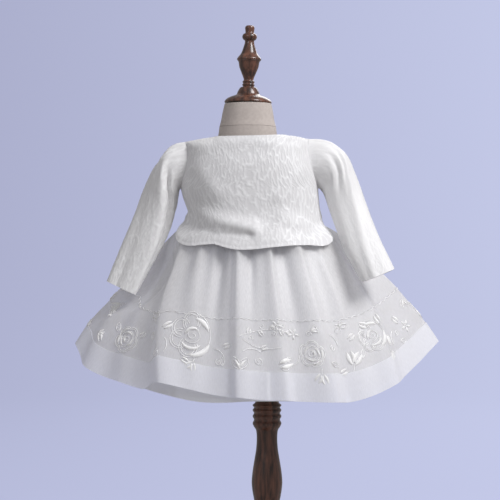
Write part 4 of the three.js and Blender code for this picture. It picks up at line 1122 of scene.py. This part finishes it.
class Needlework:
    """Raised silk on the organza skirt. Each motif is drawn in millimetres to the right of and below a
    place given in degrees and shares of the skirt's length."""

    def __init__(self):
        degrees = all_round(WORKED_COLUMNS, 360)
        self.low, self.high, self.rows = WORKED_ROWS
        down = np.linspace(self.low, self.high, self.rows)
        self.points = overlay_point(degrees[None, :], down[:, None])
        self.normals = grid_normals(self.points, True)
        self.cords = Heap()
        self.pads = Heap()

    def at(self, degrees, down):
        row = (np.asarray(down, float) - self.low) / (self.high - self.low) * (self.rows - 1)
        column = np.asarray(degrees, float) * WORKED_COLUMNS / 360
        return table_value(self.points, row, column), unit(table_value(self.normals, row, column))

    def start(self, degrees, down, turn):
        """Moves to a place and sets its scales: millimetres to a degree and to a share of the length."""
        aside, below = SCALE_READ
        sides = self.at([degrees - aside, degrees + aside], [down, down])[0]
        ends = self.at([degrees, degrees], [down - below, down + below])[0]
        self.across = np.linalg.norm(sides[1] - sides[0]) / (2 * aside)
        self.along = np.linalg.norm(ends[1] - ends[0]) / (2 * below)
        self.degrees, self.down, self.turn = degrees, down, math.radians(turn)

    def cloth_line(self, line):
        """A line in the motif's own millimetres, as points on the cloth and the way out at each."""
        a = line[:, 0] * math.cos(self.turn) - line[:, 1] * math.sin(self.turn)
        b = line[:, 0] * math.sin(self.turn) + line[:, 1] * math.cos(self.turn)
        return self.at(self.degrees + a / self.across, self.down + b / self.along)

    def cord(self, line, closed=False, radius=CORD_RADIUS):
        points, normals = self.cloth_line(line)
        path = points + normals * CORD_LIFT * radius
        self.cords.add_tube(path, normals, radius, radius, CORD_SIDES, closed)

    def pad(self, line, wide):
        """A satin-stitched pad along a line, widest in its middle and pointed at its ends."""
        points, normals = self.cloth_line(line)
        bulge = np.sin(math.pi * np.linspace(0, 1, len(line)))
        profile = np.maximum(bulge, PAD_POINT) ** 0.7
        path = points + normals * PAD_LIFT
        self.pads.add_tube(path, normals, wide * profile, PAD_HIGH * profile**0.5, PAD_SIDES)


def polar(reach, way):
    return reach * math.cos(math.radians(way)), reach * math.sin(math.radians(way))


def round_line(reach, angles, middle=(0, 0), squash=1.0):
    x = middle[0] + reach * np.cos(angles)
    return np.stack([x, middle[1] + squash * reach * np.sin(angles)], axis=-1)


def arc(radius, start, end, middle=(0, 0), squash=1.0):
    """Points about one stitch apart along an arc, its angles in degrees and clockwise from the right."""
    count = max(6, int(abs(math.radians(end - start)) * abs(radius) / STITCH))
    return round_line(radius, np.radians(np.linspace(start, end, count)), middle, squash)


def curl(radius, start, turns, middle=(0, 0), inner=0.12):
    """A spiral that opens out to its radius."""
    count = max(8, int(2 * math.pi * abs(turns) * radius * 0.6 / STITCH))
    share = np.linspace(0, 1, count)
    angles = math.radians(start) + 2 * math.pi * turns * share
    return round_line(radius * mix(inner, 1, share), angles, middle)


def lobes(radius, count, depth, start):
    """A closed outline of round lobes."""
    angles = all_round(int(2 * math.pi * radius / STITCH))
    swell = np.abs(np.cos(count / 2 * (angles - math.radians(start)))) ** LOBE_POWER
    return round_line(radius * (1 - depth + depth * swell), angles)


def bent_line(length, way, bend, start=(0, 0)):
    """A line that sets out one way, in degrees, and bends by some more along its length."""
    count = max(6, int(length / STITCH))
    share = np.linspace(0, 1, count)
    angles = np.radians(way + bend * (share - 0.5))
    step = length / (count - 1)
    x = start[0] + running(np.cos(angles[:-1]) * step)
    y = start[1] + running(np.sin(angles[:-1]) * step)
    return np.stack([x, y], axis=-1)


def sew_rose(work, size):
    """A full rose: lobed double outlines, petals in satin stitch and a coiled heart."""
    work.cord(lobes(size, 5, 0.2, 20), closed=True)
    work.cord(lobes(0.88 * size, 5, 0.22, 20), closed=True)
    work.cord(lobes(0.62 * size, 4, 0.2, 60), closed=True)
    work.cord(curl(0.4 * size, 200, 1.9))
    for middle in (30, 95):
        work.pad(arc(0.76 * size, middle - 30, middle + 30), 0.085 * size)
    for middle in (10, 130, 250):
        work.pad(arc(0.5 * size, middle - 46, middle + 46), 0.07 * size)
    work.pad(arc(0.2 * size, -60, 120), 0.07 * size)


def sew_open_rose(work, size):
    """A rose seen from the side: looped petals in double cord, folded petals in satin stitch."""
    for way, reach in ((155, 0.62), (205, 0.66), (258, 0.62), (100, 0.6)):
        middle = polar(reach * size, way)
        for radius in (0.42, 0.32):
            work.cord(arc(radius * size, way - 125, way + 125, middle, 1.15))
    work.cord(arc(0.98 * size, -72, 72, (-0.1 * size, 0), 1.1))
    work.pad(arc(0.86 * size, 12, 92, (0, 0.1 * size)), 0.13 * size)
    work.pad(arc(0.84 * size, -88, -26, (0, 0.06 * size)), 0.12 * size)
    work.pad(arc(0.5 * size, 30, 150, (0, 0.16 * size)), 0.09 * size)
    work.pad(arc(0.42 * size, 190, 300, (0.05 * size, 0.1 * size)), 0.08 * size)
    work.cord(curl(0.42 * size, 250, 1.7, (0.02 * size, 0)))


def sew_leaf(work, size, way=0, start=(0, 0)):
    """A leaf in satin stitch, in two halves on either side of its vein."""
    wide = 0.15 * size
    for side in (-1, 1):
        foot = np.add(start, polar(0.8 * wide, way + 90 * side))
        work.pad(bent_line(size, way, -34 * side, foot), wide)


def sew_open_leaf(work, size, way=0, start=(0, 0)):
    """A leaf in cord, with its vein."""
    for side in (-1, 1):
        work.cord(bent_line(1.05 * size, way, -92 * side, start))
    work.cord(bent_line(0.8 * size, way, 6, start), radius=0.7 * CORD_RADIUS)


def sew_leaf_pair(work, size):
    for way in (-118, -62):
        sew_leaf(work, size, way)
    work.cord(bent_line(0.5 * size, 90, 20))


def sew_open_pair(work, size):
    for way in (-122, -58):
        sew_open_leaf(work, size, way)
        work.pad(bent_line(0.62 * size, way, 4, (0, -0.1 * size)), 0.1 * size)


def sew_flower(work, size):
    """A small flower with five petals round a knot."""
    for way in range(15, 375, 72):
        work.pad(bent_line(0.78 * size, way, 0, polar(0.24 * size, way)), 0.2 * size)
    work.cord(arc(0.17 * size, 0, 350), closed=True)


def sew_sprig(work, size):
    """A long curved stem with tendrils, small leaves and a bud."""
    stem = bent_line(size, -8, 46, (-size / 2, 0))
    work.cord(stem)
    work.cord(bent_line(0.8 * size, 10, -52, (-0.42 * size, 0.05 * size)), radius=0.8 * CORD_RADIUS)
    for share, way, side in ((0.2, -70, 1), (0.45, 50, -1), (0.7, -50, 1), (0.88, 64, -1)):
        foot = stem[int(share * (len(stem) - 1))]
        sew_leaf(work, 0.13 * size, way, foot)
        tip = foot + np.array([0.06 * size, side * 0.09 * size])
        work.cord(curl(0.055 * size, way, side * 1.3, tip), radius=0.8 * CORD_RADIUS)
    for way in (-24, 4, 32):
        work.pad(bent_line(0.1 * size, way, 0, stem[-1]), 0.018 * size)


def sew_loops(work, size):
    """Two pairs of looped petals, in cord."""
    for way, length in ((-150, 1), (-30, 1), (150, 0.6), (30, 0.6)):
        for inset in (1, 0.74):
            for side in (-1, 1):
                work.cord(bent_line(1.1 * length * inset * size, way, -110 * side))
    work.pad(bent_line(0.5 * size, 90, 0, (0, -0.2 * size)), 0.07 * size)


def sew_bell(work, size):
    """A bell flower of three petals on a curled stalk."""
    for way in (-30, 0, 30):
        work.pad(bent_line(0.62 * size, way, 0), 0.1 * size)
    work.cord(arc(0.66 * size, -38, 38))
    work.cord(curl(0.3 * size, 0, 1.1, (-0.3 * size, 0.1 * size)))


def sew_tendril(work, size):
    work.cord(bent_line(size, -20, 80, (-size / 2, 0)))
    work.cord(curl(0.22 * size, 30, 1.4, (0.42 * size, 0.1 * size)))


SEWN = {
    "rose": sew_rose,
    "open_rose": sew_open_rose,
    "leaf": sew_leaf,
    "open_leaf": sew_open_leaf,
    "pair": sew_leaf_pair,
    "open_pair": sew_open_pair,
    "flower": sew_flower,
    "sprig": sew_sprig,
    "loops": sew_loops,
    "bell": sew_bell,
    "tendril": sew_tendril,
}


def make_embroidery(silk):
    """The border's motifs and its scalloped upper edge."""
    work = Needlework()
    for kind, places in MOTIFS.items():
        for degrees, down, size, turn in places:
            work.start(degrees, down, turn)
            SEWN[kind](work, size)
    degrees = np.arange(0, 360, EDGE_STEP)
    edge = BORDER_FROM + EDGE_SCALLOP * np.abs(np.sin(np.radians(degrees * EDGE_SCALLOPS)))
    points, normals = work.at(degrees, edge)
    path = points + normals * EDGE_CORD
    work.cords.add_tube(path, normals, EDGE_CORD, EDGE_CORD, CORD_SIDES, closed=True)
    dress(work.cords.object("embroidery_cords"), silk, "satin")
    dress(work.pads.object("embroidery_pads"), silk, "satin")


class Look:
    """A material with its main shader, and the nodes that give it colour, gloss and a fine relief."""

    def __init__(self, name):
        self.material = bpy.data.materials.new(name)
        self.material.use_nodes = True
        self.nodes = self.material.node_tree.nodes
        self.shader = self.nodes["Principled BSDF"]
        self.relief = None

    def add(self, kind, inputs=None, **settings):
        made = self.nodes.new("ShaderNode" + kind)
        for key, value in settings.items():
            setattr(made, key, value)
        for key, value in (inputs or {}).items():
            made.inputs[key].default_value = value
        return made

    def join(self, start, output, end, socket):
        self.material.node_tree.links.new(start.outputs[output], end.inputs[socket])

    def set(self, **values):
        for key, value in values.items():
            self.shader.inputs[key.replace("_", " ")].default_value = value

    def pattern(self, kind, inputs, stretch, on_cloth=True, **settings):
        """A pattern over the cloth's own flat places or over the piece, both in metres, at its scale."""
        places = self.add("UVMap", uv_map="cloth") if on_cloth else self.add("TexCoord")
        mapping = self.add("Mapping", {"Scale": stretch})
        made = self.add(kind, {"Scale": 1, **inputs}, **settings)
        self.join(places, "UV" if on_cloth else "Object", mapping, "Vector")
        self.join(mapping, "Vector", made, "Vector")
        return made

    def spread(self, source, output, low, high, out_low=0.0, out_high=1.0):
        """A value's range moved to another range."""
        values = {"From Min": low, "From Max": high, "To Min": out_low, "To Max": out_high}
        made = self.add("MapRange", values)
        self.join(source, output, made, "Value")
        return made

    def colour(self, low, high, source, output="Fac", socket="Base Color"):
        """The shader's colour, between two by a value."""
        made = self.add("Mix", {"A": (*low, 1), "B": (*high, 1)}, data_type="RGBA")
        self.join(source, output, made, "Factor")
        self.join(made, "Result", self.shader, socket)

    def rough(self, source, *ranges):
        self.join(self.spread(source, "Fac", *ranges), "Result", self.shader, "Roughness")

    def lift(self, source, strength, depth, output="Fac"):
        """A fine relief by a value, on top of the one before."""
        made = self.add("Bump", {"Strength": strength, "Distance": depth})
        self.join(source, output, made, "Height")
        if self.relief is not None:
            self.join(self.relief, "Normal", made, "Normal")
        self.join(made, "Normal", self.shader, "Normal")
        self.relief = made


def brocade_material(name, ground, raised):
    look = Look(name)
    lines = look.add("Attribute", attribute_name="relief")
    weave = look.pattern("TexNoise", {"Detail": 3, "Roughness": 0.6}, WEAVE)
    flourish = look.pattern("TexNoise", {"Detail": 2, "Distortion": 1.4}, FLOURISH)
    look.colour(ground, raised, lines)
    look.rough(lines, 0, 1, 0.56, 0.42)
    look.lift(look.spread(flourish, "Fac", 0.47, 0.53), 0.25, 0.0004, "Result")
    look.lift(weave, 0.35, 0.0002)
    look.set(Sheen_Weight=0.12, Sheen_Roughness=0.4)
    return look.material


def organza_material(name, cover, tint, rough):
    """Sheer silk: part of it lets the light straight through and part scatters it on either side."""
    look = Look(name)
    threads = look.pattern("TexNoise", {"Detail": 2}, ORGANZA_THREADS)
    look.set(Base_Color=(*tint, 1), Roughness=rough, Sheen_Weight=0.25, Sheen_Roughness=0.35)
    look.lift(threads, 0.12, 0.0002)
    glow = look.add("BsdfTranslucent", {"Color": (*tint, 1)})
    clear = look.add("BsdfTransparent")
    cloth = look.add("MixShader", {"Fac": GLOW_SHARE})
    whole = look.add("MixShader")
    share = look.spread(threads, "Fac", 0.3, 0.7, cover - COVER_CHANGE, cover + COVER_CHANGE)
    look.join(look.shader, "BSDF", cloth, 1)
    look.join(glow, "BSDF", cloth, 2)
    look.join(share, "Result", whole, "Fac")
    look.join(clear, "BSDF", whole, 1)
    look.join(cloth, "Shader", whole, 2)
    look.join(whole, "Shader", look.nodes["Material Output"], "Surface")
    return look.material


def satin_material():
    look = Look("satin_cloth")
    threads = look.pattern("TexNoise", {"Detail": 3}, SATIN_THREADS)
    look.colour(SATIN_LOW, SATIN_HIGH, threads)
    look.lift(threads, 0.1, 0.0002)
    look.set(Roughness=0.38, Sheen_Weight=0.15)
    return look.material


def silk_material():
    look = Look("embroidery_silk")
    stitch = look.pattern("TexWave", {"Distortion": 0.6}, SILK_STITCHES, bands_direction="Y")
    look.colour(SILK_LOW, SILK_HIGH, stitch)
    look.lift(stitch, 0.3, 0.0003)
    look.set(Roughness=0.34, Sheen_Weight=0.3)
    return look.material


def linen_material():
    look = Look("form_linen")
    ribs = {"Scale": LINEN_LINES, "Distortion": 0.8, "Detail Scale": 2}
    lines = look.pattern("TexWave", ribs, AS_IT_IS, on_cloth=False, bands_direction="Z")
    slubs = look.pattern("TexNoise", {"Scale": LINEN_LINES, "Detail": 4}, AS_IT_IS, on_cloth=False)
    look.colour(LINEN_LOW, LINEN_HIGH, slubs)
    look.lift(lines, 0.3, 0.0004)
    look.lift(slubs, 0.25, 0.0003)
    look.set(Roughness=0.85, Sheen_Weight=0.1)
    return look.material


def wood_material(name, stretch):
    look = Look(name)
    grain = look.pattern("TexNoise", {"Detail": 5, "Roughness": 0.62}, stretch, on_cloth=False)
    ramp = look.add("ValToRGB")
    look.join(grain, "Fac", ramp, "Fac")
    for end, place, colour in zip(ramp.color_ramp.elements, WOOD_ENDS, (WOOD_DARK, WOOD_RED)):
        end.position = place
        end.color = (*colour, 1)
    look.join(ramp, "Color", look.shader, "Base Color")
    look.rough(grain, 0.3, 0.7, 0.42, 0.26)
    look.lift(grain, 0.2, 0.0003)
    look.set(Coat_Weight=0.5, Coat_Roughness=0.16)
    return look.material


def pearl_material():
    look = Look("pearl_button")
    clouds = {"Scale": PEARL_CLOUDS, "Detail": 2, "Distortion": 1}
    look.colour(PEARL_LOW, PEARL_HIGH, look.pattern("TexNoise", clouds, AS_IT_IS, on_cloth=False))
    look.set(Roughness=0.22, Coat_Weight=0.6, Coat_Roughness=0.1)
    return look.material


def stage_material():
    """Pale paper that glows a little so that it stays plain all round. Its glow holds painted light:
    darker on the left and lighter on the right, as if the key lit that side more.
    """
    look = Look("studio_paper_painted_light")
    parts = look.add("SeparateXYZ")
    look.join(look.add("TexCoord"), "Object", parts, "Vector")
    # Painted light: the glow goes from darker on the left to lighter on the right across the stage.
    side = look.spread(parts, "X", *STAGE_PAINTED_LIGHT_SPAN)
    look.colour(STAGE_PAINTED_SHADE_LEFT, STAGE_PAINTED_LIGHT_RIGHT, side, "Result", "Emission Color")
    look.set(Base_Color=(*STAGE_BASE, 1), Roughness=0.95, Specular_IOR_Level=0)
    look.set(Emission_Strength=STAGE_GLOW)
    return look.material


def dress(obj, material, slot, *nodes):
    """Gives a piece its material, hangs it from the root and hides the solids that it stands for; the
    slot is not used.
    """
    obj.data.materials.append(material)
    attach(obj, "root")
    if nodes:
        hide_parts(*nodes)
    return obj


def make_stand(linen, wood, base_wood):
    dress(turned_object("stand_base", BASE_OUTLINE), base_wood, "wood", "form_base")
    dress(turned_object("stand_post", POST_OUTLINE), wood, "wood", "form_post")
    cap = turned_object("stand_cap", CAP_OUTLINE, (CAP_X, 0, CAP_FOOT), CAP_LEAN)
    dress(cap, wood, "wood", "form_cap")
    dress(form_object("stand_torso", TORSO_ROWS), linen, "linen", "form_torso")
    dress(form_object("stand_neck", NECK_ROWS), linen, "linen", "form_neck")


def brocade_shell(name, grid, wall, closed, seed, share):
    places = cloth_places(grid, closed)
    relief = share * crackle(places[:, : grid.shape[1]], *CRACKLE_CELL, seed)
    return shell_object(name, grid, wall, closed, relief, CRACKLE_HIGH)


def make_top(brocade, painted_light_brocade, pearl, silk):
    reaches = skirt_reaches()
    front, left, right = front_grid(reaches), back_grid(-1, reaches), back_grid(1, reaches)
    panels = {
        "top_front": (front, "bodice_front"),
        "top_back_left": (left, "bodice_back_left"),
        "top_back_right": (right, "bodice_back_right"),
    }
    for seed, (name, (grid, node)) in enumerate(panels.items()):
        dress(brocade_shell(name, grid, BROCADE, False, seed, 1), brocade, "brocade", node)
    sleeves = {
        "sleeve_left_cloth": (SLEEVE_LEFT, LEFT_SLEEVE_FOLDS, armhole_edges(front, left, -1), -1),
        "sleeve_right_cloth": (SLEEVE_RIGHT, RIGHT_SLEEVE_FOLDS, armhole_edges(front, right, 1), 1),
    }
    for seed, (name, facts) in enumerate(sleeves.items()):
        grid = sleeve_grid(*facts)
        obj = brocade_shell(name, grid, SLEEVE_CLOTH, True, seed + 7, SLEEVE_CRACKLE[name])
        # The sleeves wear the lighter copy of the brocade: painted light.
        dress(obj, painted_light_brocade, "brocade", name.replace("_cloth", ""))
    make_bindings(front, left, right, brocade)
    make_buttons(right, pearl, silk)


def neck_stretches(front, left, right):
    """The edge of each panel at the neck, with the line just below it and the way out of the cloth."""
    reach = round(NECK_CORNER * HALF_COLUMNS)
    spans = (
        (front, HALF_COLUMNS - reach, HALF_COLUMNS + reach + 1),
        (left, 0, reach + 1),
        (right, HALF_COLUMNS - reach, HALF_COLUMNS + 1),
    )
    for grid, first, last in spans:
        normals = grid_normals(grid, False)
        yield grid[0, first:last], grid[2, first:last], normals[1, first:last]


def make_bindings(front, left, right, brocade):
    """The neck's narrow binding and the piped seams at the armholes."""
    binding, piping = Heap(), Heap()
    for edge, below, normals in neck_stretches(front, left, right):
        path = edge + unit(below - edge) * 0.8 * BINDING_WIDE
        binding.add_tube(path, normals, BINDING_WIDE, BINDING_HIGH, BINDING_SIDES)
    angles = all_round(SLEEVE_COLUMNS, 360)
    for side, back in ((-1, left), (1, right)):
        ring = sleeve_head(armhole_edges(front, back, side), side, angles)
        outwards = np.broadcast_to([side, 0.0, 0.0], ring.shape)
        piping.add_tube(ring, outwards, PIPING, PIPING, BINDING_SIDES, closed=True)
    dress(binding.object("neck_binding"), brocade, "brocade")
    dress(piping.object("armhole_piping"), brocade, "brocade")


def make_buttons(right, pearl, silk):
    """Pearl buttons on the lap's centre line, each on a stitched buttonhole that lies across it."""
    normals = grid_normals(right, False)
    line, edge = (right[:, -1] + right[:, -2]) / 2, right[:, -1]
    holes = Heap()
    outline = smooth_outline(BUTTON_OUTLINE)
    radii, heights = outline["radius"][:, None, None], outline["up"][:, None, None]
    around, oval = all_round(BUTTON_SIDES)[:, None], all_round(HOLE_POINTS)[:, None]
    for i, z in enumerate(BUTTON_HEIGHTS):
        row = int(np.argmin(np.abs(line[:, 2] - z)))
        facing = normals[row, -1]
        across = unit(edge[row] - right[row, -6])
        up = np.cross(facing, across)
        ways = across * np.cos(around) + up * np.sin(around)
        rings = line[row] + facing * 2 * SEAM + ways * radii + facing * heights
        dress(ring_object(f"pearl_button_{i + 1}", rings), pearl, "pearl", f"button_{i + 1}")
        path = line[row] - across * HOLE_SHIFT + facing * HOLE_CORD
        path = path + np.cos(oval) * across * HOLE_LONG + np.sin(oval) * up * HOLE_HIGH
        out = np.broadcast_to(facing, path.shape)
        holes.add_tube(path, out, HOLE_CORD, HOLE_CORD, CORD_SIDES, closed=True)
    dress(holes.object("buttonholes"), silk, "satin")


def skirt_grid(point_at, start, end, columns, rows):
    degrees = SKIRT_SEAM_AT + all_round(columns, 360)
    down = np.linspace(start, end, rows)
    return point_at(degrees[None, :], down[:, None])


def band_lift():
    """How far the band stands off the border, with a lapped seam that steps down on its right."""
    past = angle_between(SKIRT_SEAM_AT + all_round(SKIRT_COLUMNS, 360), BAND_SEAM_AT)
    wide = np.where(past > 0, BAND_SEAM_STEP, BAND_SEAM_WIDE)
    return BAND_LIFT + BAND_SEAM_HIGH * bump(past, wide)


def make_skirts(sheer, double, satin):
    border_from = BORDER_FROM + SEAM / SKIRT_LENGTH
    parts = (
        ("skirt_upper_cloth", 0, BORDER_FROM, UPPER_ROWS, ORGANZA, sheer, "skirt_upper"),
        ("skirt_border_cloth", border_from, BAND_FROM, BORDER_ROWS, ORGANZA, sheer, "skirt_border"),
        ("hem_band_cloth", BAND_FROM - BAND_LAP, 1, BAND_ROWS, BAND_CLOTH, double, "hem_band"),
    )
    for name, start, end, rows, wall, look, node in parts:
        grid = skirt_grid(overlay_point, start, end, SKIRT_COLUMNS, rows)
        if node == "hem_band":
            grid += grid_normals(grid, True) * band_lift()[None, :, None]
        dress(shell_object(name, grid, wall, True), look, "organza", node)
    grid = skirt_grid(underskirt_point, 0, 1, UNDERSKIRT_COLUMNS, UNDERSKIRT_ROWS)
    dress(shell_object("underskirt_cloth", grid, SATIN, True), satin, "satin", "underskirt")
    angles = np.radians(SKIRT_SEAM_AT + all_round(UNDERSKIRT_COLUMNS, 360))
    heights = np.linspace(WAIST_Z + WAISTBAND_HEIGHT, WAIST_Z, WAISTBAND_ROWS)[:, None]
    x = WAIST_CENTRE + WAIST_HALF * np.sin(angles)
    y = -WAIST_DEEP * np.cos(angles)
    band = shell_object("waistband_cloth", points_of(x, y, heights), WAISTBAND_CLOTH, True)
    dress(band, satin, "satin", "waistband")


def make_stage():
    """A round studio: a flat floor that sweeps up into a plain wall on all sides."""
    flat = np.linspace(STAGE_INNER, SWEEP_START, STAGE_STEPS)
    turn = np.linspace(0, math.pi / 2, STAGE_STEPS)
    sweep = SWEEP_START + SWEEP_RADIUS * np.sin(turn)
    radii = np.concatenate([flat, sweep, sweep[-1:]])
    heights = np.concatenate([0 * flat, SWEEP_RADIUS * (1 - np.cos(turn)), [WALL_TOP]])
    around = all_round(STAGE_SIDES_ROUND)
    x = radii[:, None] * np.sin(around) / MM
    y = -radii[:, None] * np.cos(around) / MM
    z = np.broadcast_to(heights[:, None] / MM, x.shape)
    heap = Heap()
    heap.add_grid(points_of(x, y, z), np.zeros((*x.shape, 2)), close_across=True)
    floor = heap.object("studio_floor")
    floor.data.materials.append(stage_material())
    floor.visible_diffuse = False
    floor.visible_glossy = False
    floor.visible_shadow = False


def add_light(name, place, aim, size, power, colour):
    light = bpy.data.lights.new(name, "AREA")
    light.shape = "DISK"
    light.size = size
    light.energy = power
    light.color = colour
    obj = add_object(name, light)
    obj.location = place
    way = np.array(aim) - np.array(place)
    obj.rotation_euler = (
        math.atan2(math.hypot(way[0], way[1]), -way[2]),
        0,
        math.atan2(way[1], way[0]) - math.pi / 2,
    )


def make_camera():
    camera = bpy.data.cameras.new("camera")
    camera.sensor_width = SENSOR
    camera.lens = SENSOR * CAMERA_FAR / FRAME_WIDTH
    obj = add_object("camera", camera)
    obj.location = (CAMERA_X, -CAMERA_FAR, CAMERA_Z)
    obj.rotation_euler = (math.pi / 2, 0, 0)
    bpy.context.scene.camera = obj


def make_lights():
    for light in LIGHTS:
        add_light(*light)
    world = bpy.data.worlds.new("studio")
    world.use_nodes = True
    background = world.node_tree.nodes["Background"]
    background.inputs["Color"].default_value = (*WORLD_COLOUR, 1)
    background.inputs["Strength"].default_value = WORLD_STRENGTH
    bpy.context.scene.world = world


def corners(box):
    return [list(corner) for corner in box]


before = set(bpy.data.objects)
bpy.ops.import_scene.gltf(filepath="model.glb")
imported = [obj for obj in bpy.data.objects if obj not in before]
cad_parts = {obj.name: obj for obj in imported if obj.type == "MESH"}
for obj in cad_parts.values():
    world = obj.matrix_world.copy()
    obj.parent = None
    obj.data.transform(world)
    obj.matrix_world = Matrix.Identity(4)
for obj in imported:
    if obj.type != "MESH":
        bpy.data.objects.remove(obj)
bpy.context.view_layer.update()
make_camera()
make_lights()
make_stage()
bpy.context.scene.view_settings.view_transform = "Standard"
make_stand(
    linen_material(),
    wood_material("post_wood", POST_GRAIN),
    wood_material("base_wood", BASE_GRAIN),
)
embroidery_silk = silk_material()
make_top(
    brocade_material("brocade_cloth", BROCADE_GROUND, BROCADE_RAISED),
    # A lighter copy of the brocade for the sleeves: painted light.
    brocade_material("sleeve_brocade_painted_light", SLEEVE_GROUND_PAINTED_LIGHT, SLEEVE_RAISED_PAINTED_LIGHT),
    pearl_material(),
    embroidery_silk,
)
make_skirts(
    organza_material("organza_sheer", SHEER_COVER, ORGANZA_TINT, 0.42),
    organza_material("organza_double", DOUBLE_COVER, BAND_TINT, 0.4),
    satin_material(),
)
make_embroidery(embroidery_silk)
